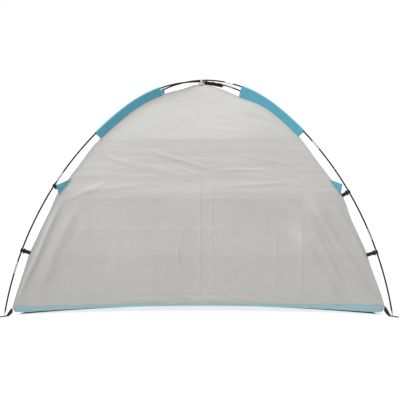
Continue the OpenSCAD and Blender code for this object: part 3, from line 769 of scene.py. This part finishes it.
def side_relief(p, angle, seed):
    """Long soft folds from the ridges towards the lower corners, with a crumpled finish."""
    y, z = p[..., 1], p[..., 2]
    low = 1 - ease(0.5, 0.9, z)
    out = (
        0.0050 * low * ripple(y * 5 + 2 * z, z * 2, seed)
        + 0.0030 * ripple(y * 3.5, z * 13 + 2.0 * np.abs(y), seed + 1) * ease(6, 20, angle)
        + 0.0014 * ripple(y * 9, z * 34, seed + 2) * ease(10, 30, angle)
        + 0.0015 * crumple(y * 11, z * 9, seed + 3) * ease(6, 20, angle)
    )
    out = mirrored(out, y, z, ((0.28, 0.66), (0.50, 0.10), 0.026, 0.0070, 0.4),
                   ((0.10, 0.60), (0.40, 0.08), 0.034, 0.0050, -0.2), ((0.34, 0.93), (0.05, 0.80), 0.014, 0.0034))
    for crease in (-0.21, 0.0, 0.22):
        out = out + fold(y, z, (crease, 0.95), (crease + 0.004, 0.05), 0.006, 0.0013)
    for crease in (0.29, 0.45, 0.62, 0.78):
        out = out + fold(y, z, (-0.5, crease), (0.5, crease - 0.004), 0.006, 0.0008)
    return out


def left_wall_relief(p, angle, along):
    """The cloth stands out past the rear ridge between the sleeve and the gusset."""
    bulge = 0.020 * bell(0.86, 0.13, along) * ease(43, 46, angle) * (1 - ease(53, 56, angle))
    return side_relief(p, angle, 31) + bulge


def right_wall_relief(p, angle, along):
    return side_relief(p, angle, 41)


def front_roof_relief(p, angle, along):
    x, z = p[..., 0], p[..., 2]
    slant = z + 0.22 * np.abs(x)
    out = (
        0.0032 * ripple(x * 3.2 + 9, slant * 22, 51)
        + 0.0012 * ripple(x * 8, slant * 50, 52)
        + 0.0011 * crumple(x * 10, z * 10, 53)
    )
    out = mirrored(out, x, z, ((0.05, 1.10), (0.48, 0.98), 0.015, 0.0040, 0.3),
                   ((0.12, 1.17), (0.40, 1.08), 0.012, 0.0030))
    return out * ease(APEX_ANGLE, 14, angle)


REAR_WALL = Panel("rear_wall", REAR_LEFT, REAR_RIGHT, -1, SEAM_ANGLE - SEAM_LAP, HEM_ANGLE, REAR_BOWS,
                  150, 300, rear_wall_relief, REAR_HEM_LIFT)
REAR_ROOF = Panel("rear_roof_panel", REAR_LEFT, REAR_RIGHT, -1, APEX_ANGLE, SEAM_ANGLE + SEAM_LAP, REAR_BOWS,
                  100, 220, rear_roof_relief, rise=seam_lip)
LEFT_WALL = Panel("left_wall", FRONT_LEFT, REAR_LEFT, 1, APEX_ANGLE, HEM_ANGLE, SIDE_BOWS,
                  220, 150, left_wall_relief, SIDE_HEM_LIFT)
RIGHT_WALL = Panel("right_wall", REAR_RIGHT, FRONT_RIGHT, 1, APEX_ANGLE, HEM_ANGLE, SIDE_BOWS,
                   220, 150, right_wall_relief, SIDE_HEM_LIFT)
FRONT_ROOF = Panel("front_roof_panel", FRONT_RIGHT, FRONT_LEFT, -1, APEX_ANGLE, SEAM_ANGLE, REAR_BOWS,
                   90, 200, front_roof_relief, FRONT_ARCH)

# ---- floor cloth and skirts


def skirt_grid(wall, tuck, mitre_length, cols, seed):
    """The strip from a wall's lower edge down to the ground and in over the groundsheet's edge."""
    along = np.linspace(-0.996, 0.996, cols)
    edge, normal = panel(wall.a, wall.b, arched(HEM_ANGLE, wall.arch, along), along, wall.bows)
    inward = unit(normal * [1, 1, 0])
    half = wall.half_width(HEM_ANGLE)
    mitred = along * (1 - mitre_length / half)
    foot, _ = panel(wall.a, wall.b, arched(HEM_ANGLE, wall.arch, mitred), mitred, wall.bows)
    middle = (1 - along**2)[:, None]
    top = edge - 0.0004 * normal + [0, 0, 0.004]
    knee = edge * [1, 1, 0] + UP * (KNEE_HEIGHT + KNEE_RISE * middle) * 0.94
    toe = foot * [1, 1, 0] + UP * 0.0024 + inward * (SKIRT_TUCK + tuck * middle)
    t = np.linspace(0, 1, 15)[:, None, None]
    grid = top * (1 - t) ** 3 + 3 * knee * t * (1 - t) + toe * t**3
    run = along[None, :] * half
    pucker = ripple(run * 28, t[..., 0] * 1.6, seed) + 0.6 * ripple(run * 70, t[..., 0] * 3, seed + 1)
    swell = 0.0016 * pucker * np.sin(np.pi * np.clip(t[..., 0] * 1.1, 0, 1))
    return grid - inward * swell[..., None] * 0.8 + UP * np.maximum(swell, 0)[..., None] * 0.4


def groundsheet_grid(rows=120, cols=200):
    corner = FRONT_RIGHT.ridge(HEM_ANGLE)
    half_w = corner[0] - FLOOR_INSET + UNDERLAP
    rear_d, front_d = corner[1] - FLOOR_INSET + UNDERLAP, corner[1] - FRONT_INSET
    clear = FLOOR_CLEAR - (FLOOR_INSET - SKIRT_TUCK)
    rear = REAR_BOWS[2] + REAR_TUCK + clear
    side = SIDE_BOWS[2] + SIDE_TUCK + clear
    s, t = np.meshgrid(np.linspace(-1, 1, cols), np.linspace(-1, 1, rows))
    x = s * (half_w - side * (1 - t**2))
    y = (1 + t) / 2 * front_d - (1 - t) / 2 * rear_d
    y = y + (1 - s**2) * ((1 - t) / 2 * rear - (1 + t) / 2 * FRONT_EDGE_BOW)
    rim = ease(0, 0.06, 1 - np.abs(s)) * ease(0, 0.08, 1 - np.abs(t))
    z = 0.0016 * np.maximum(0, ripple(x * 5, y * 5, 61) + 0.15)
    z = z + 0.0015 * np.maximum(0, crumple(x * 8, y * 8, 62))
    for start, end, height in (((-0.5, -0.2), (-0.45, 0.5), 0.0014), ((0.0, -0.25), (0.01, 0.5), 0.0014),
                               ((0.48, -0.2), (0.5, 0.5), 0.0014), ((-0.8, -0.05), (0.8, -0.045), 0.0012),
                               ((-0.8, 0.25), (0.8, 0.255), 0.0012)):
        z = z + np.maximum(0, fold(x, y, start, end, 0.008, height))
    return np.stack([x, y, 0.0006 + z * rim], -1)


skirts = (("rear", REAR_WALL, REAR_TUCK, REAR_MITRE, 200), ("left", LEFT_WALL, SIDE_TUCK, SIDE_MITRE, 120),
          ("right", RIGHT_WALL, SIDE_TUCK, SIDE_MITRE, 120))
for index, (name, wall, tuck, mitre, cols) in enumerate(skirts):
    node = "floor_skirt_" + name
    grid = skirt_grid(wall, tuck, mitre, cols, 70 + 3 * index)
    cloth(node + "_cloth", grid, FLOOR_CLOTH, node, flip=True)
grid = groundsheet_grid()
cloth("groundsheet_cloth", grid, FLOOR_CLOTH, "groundsheet", thickness=FLOOR_CLOTH_THICK)

# ---- poles


def section_joints(pole):
    half, whole = pole.half_run, 2 * pole.half_run
    if pole is POLES[0]:
        near, crown, far = NEAR_JOINTS, [half - pole.crown_run, half + CROWN_JOINT], FAR_JOINTS
    else:
        near, crown, far = FAR_JOINTS, [half - CROWN_JOINT, half + pole.crown_run], NEAR_JOINTS
    return near + crown + [whole - far[1], whole - far[0]]


def pole_piece(pole, direction, stations, radii, inner, sides):
    """A tube along a pole whose outside radius changes along the way."""
    place, normal, side = beside(pole, direction, stations - pole.half_run)
    return tube(place, normal, side, radii, inner, sides)


def even(start, end, pitch, margins):
    """Places from start to end at most a pitch apart, and at the margins inside both ends."""
    count = max(2, int(math.ceil((end - start) / pitch)) + 1)
    extra = [start + margin for margin in margins] + [end - margin for margin in margins]
    return np.unique(np.concatenate([np.linspace(start, end, count), extra]))


for pole, direction, letter in ((POLES[0], PLAN_ANGLE, "a"), (POLES[1], 180 - PLAN_ANGLE, "b")):
    joints = section_joints(pole)
    ends = [TIP_LENGTH] + joints + [2 * pole.half_run - TIP_LENGTH]
    for i in range(7):
        start, end = ends[i] + SECTION_GAP, ends[i + 1] - SECTION_GAP
        s = even(start, end, 0.012, [POLE_CHAMFER])
        edge = np.minimum(s - start, end - s)
        radii = POLE_D / 2 - POLE_CHAMFER * (1 - np.clip(edge / POLE_CHAMFER, 0, 1))
        drawn = pole_piece(pole, direction, s, radii, POLE_BORE / 2, 28)
        name = f"pole_{letter}_tube_{i + 1}"
        add_object(name, drawn, FIBREGLASS, name.replace("tube", "section"))
    parts = []
    for joint in joints:
        start, end = joint - FERRULE_LENGTH / 2, joint + FERRULE_LENGTH / 2
        s = even(start, end, 0.008, FERRULE_MARKS)
        edge = np.minimum(s - start, end - s)
        rounded = 0.0005 * (1 - np.clip(edge / 0.0008, 0, 1)) ** 2
        radii = FERRULE_D / 2 - rounded - 0.00035 * bell(0.0067, 0.0009, edge)
        parts.append(pole_piece(pole, direction, s, radii, POLE_D / 2 + 0.0001, 32))
    node = f"pole_{letter}_ferrules"
    add_object(node + "_drawn", join(parts), FERRULE, node)

# ---- sleeves


def sleeve_grid(leg, seed, rows=110, cols=61):
    """One strip of cloth folded over the pole, with both edges in the ridge seam."""
    start, end = leg.pole.run(SLEEVE_TOP), leg.pole.run(SEAM_ANGLE)
    run = np.linspace(start, end, rows)[:, None]
    q = np.linspace(-1, 1, cols)[None, :]
    side = np.sign(q)
    angle = leg.pole.station(run)
    hem = 1 - ease(0.010, 0.0125, np.minimum(run - start, end - run))
    radius = SLEEVE_RADIUS + 0.0004 * hem
    turn = np.radians(SLEEVE_WRAP)
    on_pole = np.abs(q) <= SLEEVE_SHARE
    phi = np.clip(q / SLEEVE_SHARE, -1, 1) * turn
    t = np.clip((np.abs(q) - SLEEVE_SHARE) / (1 - SLEEVE_SHARE), 0, 1)
    depth_start, wide_start = -radius * math.cos(turn), radius * math.sin(turn)
    gap = leg.gap(angle) - 0.0008
    inside = np.where(on_pole, -radius * np.cos(phi), depth_start + (gap - depth_start) * t)
    web = side * (0.0010 + 0.0003 * hem + (wide_start - 0.0010) * (1 - t) ** 1.9)
    wide = np.where(on_pole, radius * np.sin(phi), web)
    first = run - start
    skew = first - 0.8 * inside
    out = 0.0011 * ripple(skew * 26, inside * 20 + 5 * side, seed) * (1 + 1.8 * np.exp(-first / 0.09))
    out = out + 0.0007 * ripple(skew * 60, inside * 34 + 5 * side, seed + 1)
    for place, width, height in SLEEVE_FOLDS:
        out = out + height * bell(place, width, first + 0.9 * (0.035 - inside) * (0.5 + place * 2))
    out = out * np.sin(np.pi * np.clip(t, 0, 1)) ** 0.8
    wide = wide + side * np.maximum(out, -np.abs(wide) * 0.4)
    # the channel is a little baggy between the pole and its own cloth
    baggy = np.where(on_pole, 0.0004 * (ripple(run * 40, phi * 2, seed + 2) + 0.2), 0)
    inside = inside - baggy * np.cos(np.clip(phi, -np.pi / 2, np.pi / 2))
    return leg.place(np.broadcast_to(angle, inside.shape), inside, wide), start, end


stitch_lines = {"grey": [], "blue": [], "black": []}


def sew(colour, line, normal):
    stitch_lines[colour].append((line, np.broadcast_to(normal, line.shape)))


for index, leg in enumerate(LEGS):
    grid, start, end = sleeve_grid(leg, 81 + 4 * index)
    flip = leg in (REAR_RIGHT, FRONT_LEFT)
    cloth("sleeve_cloth_" + leg.name, grid, SLEEVE, "sleeve_" + leg.name, flip, SLEEVE_THICK)
    for line, at in ((grid[2], start), (grid[-3], end)):
        sew("blue", line, unit(line - leg.place(leg.pole.station(np.array(at)), 0.002)))
    for side in (-1, 1):
        angle = leg.pole.station(np.linspace(start + 0.003, end - 0.003, 90))
        sew("blue", leg.place(angle, leg.gap(angle) - 0.0035, side * 0.0017), side * leg.across)

# ---- ridge seams


for leg in LEGS:
    angles = np.linspace(APEX_ANGLE + 1.6, HEM_ANGLE, 240)
    middle = leg.ridge(angles, (SEAM_IN - SEAM_OUT) / 2)
    seam = ribbon_mesh(middle, leg.normal(angles), SEAM_IN + SEAM_OUT, SEAM_THICKNESS, 5)
    add_object("ridge_seam_" + leg.name, seam, CANOPY)
    for side in (-1, 1):
        sew("grey", leg.ridge(angles, -0.0022, side * SEAM_THICKNESS / 2), side * leg.across)

# top stitching beside each ridge, then along the cross seam and the hems
ridge_top = APEX_ANGLE + 3
for part, top, bottom in ((REAR_WALL, SEAM_ANGLE, HEM_ANGLE), (REAR_ROOF, ridge_top, SEAM_ANGLE),
                          (LEFT_WALL, ridge_top, HEM_ANGLE), (RIGHT_WALL, ridge_top, HEM_ANGLE),
                          (FRONT_ROOF, ridge_top, SEAM_ANGLE - 0.3)):
    angle = np.linspace(top, bottom, 200)
    for sign in (-1, 1):
        sew("grey", *part.line(angle, sign * (1 - 0.006 / part.half_width(angle)), CLOTH / 2))
along = np.linspace(-0.99, 0.99, 260)
sew("grey", *REAR_ROOF.line(np.full_like(along, SEAM_ANGLE + SEAM_LAP - 0.10), along, CLOTH / 2 + SEAM_LIP))
for wall in (REAR_WALL, LEFT_WALL, RIGHT_WALL):
    sew("grey", *wall.line(arched(HEM_ANGLE - 0.12, wall.arch, along), along, CLOTH * 1.6))


def front_edge(inset, lift):
    """A line along the front roof's free edge, some degrees inside it."""
    along = np.linspace(-0.995, 0.995, 240)
    return FRONT_ROOF.line(arched(SEAM_ANGLE, FRONT_ARCH, along) - inset, along, lift)


# the front roof's arched edge is turned under and bound
edge, normal = front_edge(0.35, 0.0)
binding = ribbon_mesh(edge, np.cross(np.gradient(edge, axis=0), normal), 0.014, 0.0019)
add_object("front_edge_binding", binding, CANOPY)
for inset in (0.10, 0.60):
    sew("grey", *front_edge(inset, 0.0010))

# ---- ridge gussets


def gusset(leg):
    """A right-angled patch of doubled blue cloth, with its two free edges turned over and sewn."""
    high, out, low = leg.gusset
    top = leg.place(high, leg.gap(high) - 0.002, GUSSET_ASIDE)
    corner = leg.place(out, GUSSET_REACH, GUSSET_ASIDE)
    bottom = leg.place(low, leg.gap(low) - 0.002, GUSSET_ASIDE)
    # rows run from the ridge edge to the corner
    s, t = np.meshgrid(np.linspace(0, 1, 18), np.linspace(0, 1, 18))
    ridge_edge = top * (1 - s[..., None]) + bottom * s[..., None]
    flat = ridge_edge * (1 - t[..., None]) + corner * t[..., None]
    warp = 0.0022 * np.sin(np.pi * s) * (1 - t) * t * 4 + 0.0012 * ripple(s * 3, t * 3, 95)
    grid = flat - warp[..., None] * leg.across
    node = "ridge_gusset_" + leg.name
    cloth("gusset_cloth_" + leg.name, grid, SLEEVE, node, thickness=GUSSET_THICK)
    parts = []
    for start, end in ((top, corner), (corner, bottom)):
        line = smooth_path([start, (start + end) / 2 - 0.0006 * leg.across, end], 16)
        middle = (top + bottom + corner) / 3
        inner = unit((middle - line) - leg.across * ((middle - line) @ leg.across)[:, None])
        parts.append(ribbon_mesh(line + inner * 0.003, inner, 0.006, 0.0022, 5))
        for side in (-1, 1):
            sew("blue", line + inner * 0.0048 + side * 0.0011 * leg.across, side * leg.across)
    add_object("gusset_hem_" + leg.name, join(parts), SLEEVE)
    # where it meets the ridge seam it is folded flat against it
    line = smooth_path([top, (top + bottom) / 2, bottom], 20)
    root = leg.ridge(np.linspace(high, low, 20), -0.001, -0.0012)
    return np.stack([line * (1 - k) + root * k for k in np.linspace(0, 1, 5)])


for leg in LEGS:
    cloth("gusset_root_" + leg.name, gusset(leg), SLEEVE, thickness=GUSSET_THICK)

# ---- clip straps and corner straps


def strap_path(leg, angle):
    """Down one side from the ridge seam, round the clip's bar and back: [inside distance, aside]."""
    root, neck, beside_bar = float(leg.gap(angle)) + 0.002, BAR_OFFSET + 0.0085, (BAR_OFFSET + 0.0052, 0.0015)
    down = [(d, TAPE * 0.56) for d in (root, (root + neck) / 2, neck)] + [beside_bar]
    turns = np.radians(np.arange(50, 311, 20))
    bend = [(BAR_OFFSET + BAR_LOOP * math.cos(t), BAR_LOOP * math.sin(t)) for t in turns]
    return down + bend + [(d, -a) for d, a in reversed(down)]


for leg in LEGS:
    parts = []
    for angle in (leg.lower_clip, leg.upper_clip):
        origin, normal, up = leg.place(angle), leg.normal(angle), -leg.downhill(angle)
        path = smooth_path([origin - normal * d + leg.across * a for d, a in strap_path(leg, angle)], 90)
        parts.append(ribbon_mesh(path, np.broadcast_to(up, path.shape), WEBBING_WIDTH, TAPE, 9))
        # a bar tack of close stitches holds the loop shut
        for side in (-1, 1):
            for k in range(7):
                inside, aside = BAR_OFFSET + 0.0105 + 0.0009 * k, side * TAPE * 1.12
                middle = origin - normal * inside + leg.across * aside
                sew("black", middle + up * np.linspace(-0.0075, 0.0075, 6)[:, None], side * leg.across)
    add_object("clip_straps_woven_" + leg.name, join(parts), WEBBING, "clip_straps_" + leg.name)


def cut_holes(obj, places, radius, sides=32):
    """Punches upright holes through a mesh."""
    turn = np.arange(sides) * 2 * np.pi / sides
    ring = np.stack([np.cos(turn), np.sin(turn), 0 * turn], -1) * radius
    caps = [list(range(sides))[::-1], list(range(sides, 2 * sides))]
    faces = grid_faces(2, sides, wrap=True) + caps
    punches = [(np.concatenate([ring + p - UP * 0.01, ring + p + UP * 0.01]), faces, None) for p in places]
    points, faces, _ = join(punches)
    mesh = bpy.data.meshes.new("cutter")
    mesh.from_pydata(points.tolist(), [], faces)
    cutter = linked("cutter", mesh)
    cut = obj.modifiers.new("holes", "BOOLEAN")
    cut.operation, cut.solver, cut.object = "DIFFERENCE", "EXACT", cutter
    bpy.context.view_layer.update()
    done = bpy.data.meshes.new_from_object(obj.evaluated_get(bpy.context.evaluated_depsgraph_get()))
    obj.modifiers.clear()
    obj.data = done
    bpy.data.objects.remove(cutter)
    bpy.data.meshes.remove(mesh)


def corner_strap(leg, count=110):
    """A corner strap hangs on edge from the canopy's corner and turns flat at the foot. Stations along
    it, past 1 where it lies flat, with its centre line and the directions of its width and its face."""
    corner = leg.pole.place(np.array(HEM_ANGLE), leg.gap(HEM_ANGLE))
    start, flat_from, end = corner[0] + STRAP_START, HALF_SPAN - STRAP_FLAT, HALF_SPAN + STRAP_REACH - 0.0016
    t = np.linspace(0, 1 + (end - flat_from) / (flat_from - start), count)
    rest = 1 - np.clip(t, 0, 1)
    out = start + (flat_from - start) * t
    height = STRAP_HEIGHT + (corner[1] - 0.010 - STRAP_HEIGHT) * rest**1.3
    line = out[:, None] * leg.out + height[:, None] * UP
    up = np.cross(unit(np.gradient(line, axis=0)), leg.across)
    up = up * np.sign(up[:, 2:])
    # its first end stands upright against the canopy's corner
    upright = unit(up * [1, 1, 0] * ease(0, 0.28, t)[:, None] + up * UP)
    turn = np.radians(STRAP_TWIST * rest**0.9)[:, None]
    wide = np.cos(turn) * leg.across + np.sin(turn) * upright
    return t, (line, wide, np.cos(turn) * up - np.sin(turn) * leg.across)


for leg in LEGS:
    t, strap = corner_strap(leg)
    line, wide, face = strap
    lower, upper = line - face * TAPE * 0.53, line + face * TAPE * 0.53
    path = np.concatenate([lower, line[-1:] + leg.out * 0.0004, upper[::-1]])
    across = np.concatenate([wide, wide[-1:], wide[::-1]])
    drawn, name = ribbon_mesh(path, across, WEBBING_WIDTH, TAPE, 9), "corner_strap_woven_" + leg.name
    woven_strap = add_object(name, drawn, WEBBING, "corner_strap_" + leg.name)
    cut_holes(woven_strap, [leg.out * FOOT_PLACE, leg.out * PEG_PLACE], EYELET_HOLE)
    # box stitch between the eyelets and the canopy
    corners = np.array([(0.66, -0.007), (0.66, 0.007), (0.90, -0.007), (0.90, 0.007)])
    for start, end in ((0, 1), (2, 3), (0, 2), (1, 3), (0, 3), (1, 2)):
        at, aside = np.linspace(corners[start], corners[end], 12).T
        centre, wide, face = (sample(at, t, values) for values in strap)
        sew("black", centre + wide * aside[:, None] + face * TAPE * 1.06, face)

# ---- apex


def apex_patch():
    """A gathered cap of canopy cloth under the crossing."""
    foot = float(REAR_LEFT.ridge(APEX_ANGLE)[2]) + 0.0024
    top = CROWN_HEIGHT - POLE_D - 0.003
    turn = np.linspace(0, 2 * np.pi, 97)
    t = np.linspace(0, 1, 16)[:, None]
    gather = 0.0006 * np.sin(11 * turn + 3 * np.sin(turn)) * np.sin(np.pi * t)
    gather = gather + 0.0004 * np.sin(23 * turn) * t
    radius = 0.022 - 0.012 * t**0.9 + gather
    # its rim follows the panels down, most over the middle of the two wide ones
    fall = 0.0008 + 0.0048 * np.sin(turn) ** 4
    height = foot + (top - foot) * t**1.1 - fall * (1 - t)
    x, y = radius * np.cos(turn), radius * np.sin(turn)
    grid = np.stack([x, y, height + 0 * turn], -1)
    grid[:, -1] = grid[:, 0]
    return grid


cloth("apex_patch_cloth", apex_patch(), CANOPY, "apex_patch", flip=True)

outline = [(0, y * (LOOP_HALF_WIDTH - LOOP_CORNER) + LOOP_CORNER * math.cos(t),
            z * (LOOP_HALF_HEIGHT - LOOP_CORNER) + LOOP_CORNER * math.sin(t))
           for y, z, start in ((1, 1, 0), (-1, 1, 90), (-1, -1, 180), (1, -1, 270))
           for t in np.radians(start + np.linspace(0, 90, 9))]
ring = np.array(outline + outline[:1])
run = run_along(ring)
path = UP * CROWN_HEIGHT + sample(np.linspace(0, run[-1], 80, endpoint=False), run, ring)
loop = ribbon_mesh(path, np.broadcast_to([1.0, 0, 0], path.shape), 0.012, 0.0014, 9, closed=True)
add_object("apex_loop_woven", loop, GREY_TAPE, "apex_loop")

# black tape, tied doubled under the lower pole just past the crossing
tape_parts = []
angles = np.linspace(1.25, 10.4, 60)
k = np.linspace(0, 1, 60)
for layer, (drop, lean, wave) in enumerate(((0.0084, 48, 0.0004), (0.0098, 54, 0.0007))):
    turn = np.radians(lean + 10 * np.sin(k * 5 + layer))
    place = FRONT_RIGHT.place(angles, drop + wave * np.sin(k * 9 + layer))
    across = np.cos(turn)[:, None] * FRONT_RIGHT.across + np.sin(turn)[:, None] * FRONT_RIGHT.normal(angles)
    tape_parts.append(ribbon_mesh(place, across, WEBBING_WIDTH * 0.9, TAPE, 9, cup=0.0006))
for centre in (2.3, 5.6, 8.6):
    turn = np.linspace(0, 2 * np.pi, 49)[:-1]
    radius = 0.0068 + 0.0022 * np.maximum(0, -np.cos(turn))
    skew = centre + 0.25 * np.sin(turn)
    place = FRONT_RIGHT.place(skew, -radius * np.cos(turn), radius * np.sin(turn) * 0.96)
    across = np.broadcast_to(FRONT_RIGHT.downhill(centre), place.shape)
    tape_parts.append(ribbon_mesh(place, across, 0.007, 0.0009, 7, closed=True))
add_object("apex_tie_tape_woven", join(tape_parts), WEBBING, "apex_tie_tape")

# ---- stitches

for colour, material, slot, pitch, size in (("grey", THREAD_GREY, "canopy_cloth", STITCH_PITCH, STITCH_SIZE),
                                            ("blue", THREAD_BLUE, "blue_cloth", STITCH_PITCH, STITCH_SIZE),
                                            ("black", THREAD_BLACK, "webbing", TACK_PITCH, TACK_SIZE)):
    add_object("stitches_" + colour, stitch_mesh(stitch_lines[colour], pitch, size), material)

# ---- a width, an area and an inner pole section for each leg, which nothing uses


for leg in LEGS:
    wide, area = (0.155, 0.060) if leg is REAR_RIGHT else (0.115, 0.055)
    inside = "pole_b_section_3" if leg.pole is POLES[1] else "pole_a_section_3"

# ---- CAD pieces that stay as they are


def keep(node, material, bevel=None):
    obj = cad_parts[node]
    obj.data.materials.clear()
    obj.data.materials.append(material)
    if bevel:
        soft = obj.modifiers.new("edges", "BEVEL")
        soft.width, soft.segments, soft.limit_method, soft.angle_limit = bevel, 2, "ANGLE", math.radians(40)


for leg in LEGS:
    for which in ("lower", "upper"):
        keep(f"clip_{which}_{leg.name}", MOULDED, 0.0006)
keep("pole_tips", TIP, 0.0004)
keep("pole_eyelets", EYELET, 0.0002)
keep("peg_eyelets", EYELET, 0.0002)
keep("pole_a_shock_cord", ELASTIC)
keep("pole_b_shock_cord", ELASTIC)

# ---- camera and light

lens = bpy.data.cameras.new("camera")
camera = linked("camera", lens)
camera.location = (0.12, -4.628, 1.0)
camera.rotation_euler = (math.radians(90), 0, 0)
lens.sensor_width, lens.lens, lens.clip_end = 36.0, 66.7, 200
lens.shift_x, lens.shift_y = -0.0517, -0.1717
bpy.context.scene.camera = camera


def light(name, kind, aim, energy, place=(0, 0, 0), **settings):
    data = bpy.data.lights.new(name, kind)
    data.energy = energy
    for key, value in settings.items():
        setattr(data, key, value)
    obj = linked(name, data)
    obj.location = place
    obj.rotation_euler = Vector(aim).to_track_quat("-Z", "Y").to_euler()


def softbox(name, place, target, size, energy):
    aim = Vector(target) - Vector(place)
    light(name, "AREA", aim, energy, place, shape="RECTANGLE", size=size, size_y=size)


# a very wide lamp far away, so that the whole floor is lit alike
light("overhead_panel", "SUN", (0.22, 0.10, -1.0), 2.9, angle=math.radians(42))
softbox("left_softbox", (-3.6, -2.6, 2.2), (0.1, -0.3, 0.7), 1.2, 52)
softbox("front_softbox", (-0.1, -1.9, 1.9), (0.0, -0.4, 0.75), 0.7, 9)

# the world is brighter to the eye than as light on the shelter
world = bpy.data.worlds.new("studio")
world.use_nodes = True
nodes, links = world.node_tree.nodes, world.node_tree.links
nodes.clear()
seen, fill = nodes.new("ShaderNodeBackground"), nodes.new("ShaderNodeBackground")
for background, strength in ((seen, 1.02), (fill, 0.30)):
    background.inputs["Color"].default_value = (1, 1, 1, 1)
    background.inputs["Strength"].default_value = strength
path = nodes.new("ShaderNodeLightPath")
either = nodes.new("ShaderNodeMixShader")
out = nodes.new("ShaderNodeOutputWorld")
for source, output, node, into in ((path, "Is Camera Ray", either, 0), (fill, 0, either, 1),
                                   (seen, 0, either, 2), (either, 0, out, 0)):
    links.new(source.outputs[output], node.inputs[into])
bpy.context.scene.world = world
bpy.context.scene.view_settings.view_transform = "Standard"

g = Graph("pale_floor", Specular_IOR_Level=0.1, Emission_Color=(1, 1, 1, 1), Emission_Strength=0.72)
g.finish(g.ramp(g.noise(g.object_coords(), 2.0, 4.0), (0.3, (0.30,) * 3), (0.7, (0.32,) * 3)), 0.9)
mesh = bpy.data.meshes.new("floor")
corners = [(x * FLOOR_REACH, y * FLOOR_REACH, -0.0002) for x, y in ((-1, -1), (1, -1), (1, 1), (-1, 1))]
mesh.from_pydata(corners, [], [[0, 1, 2, 3]])
mesh.materials.append(g.material)
linked("floor", mesh)
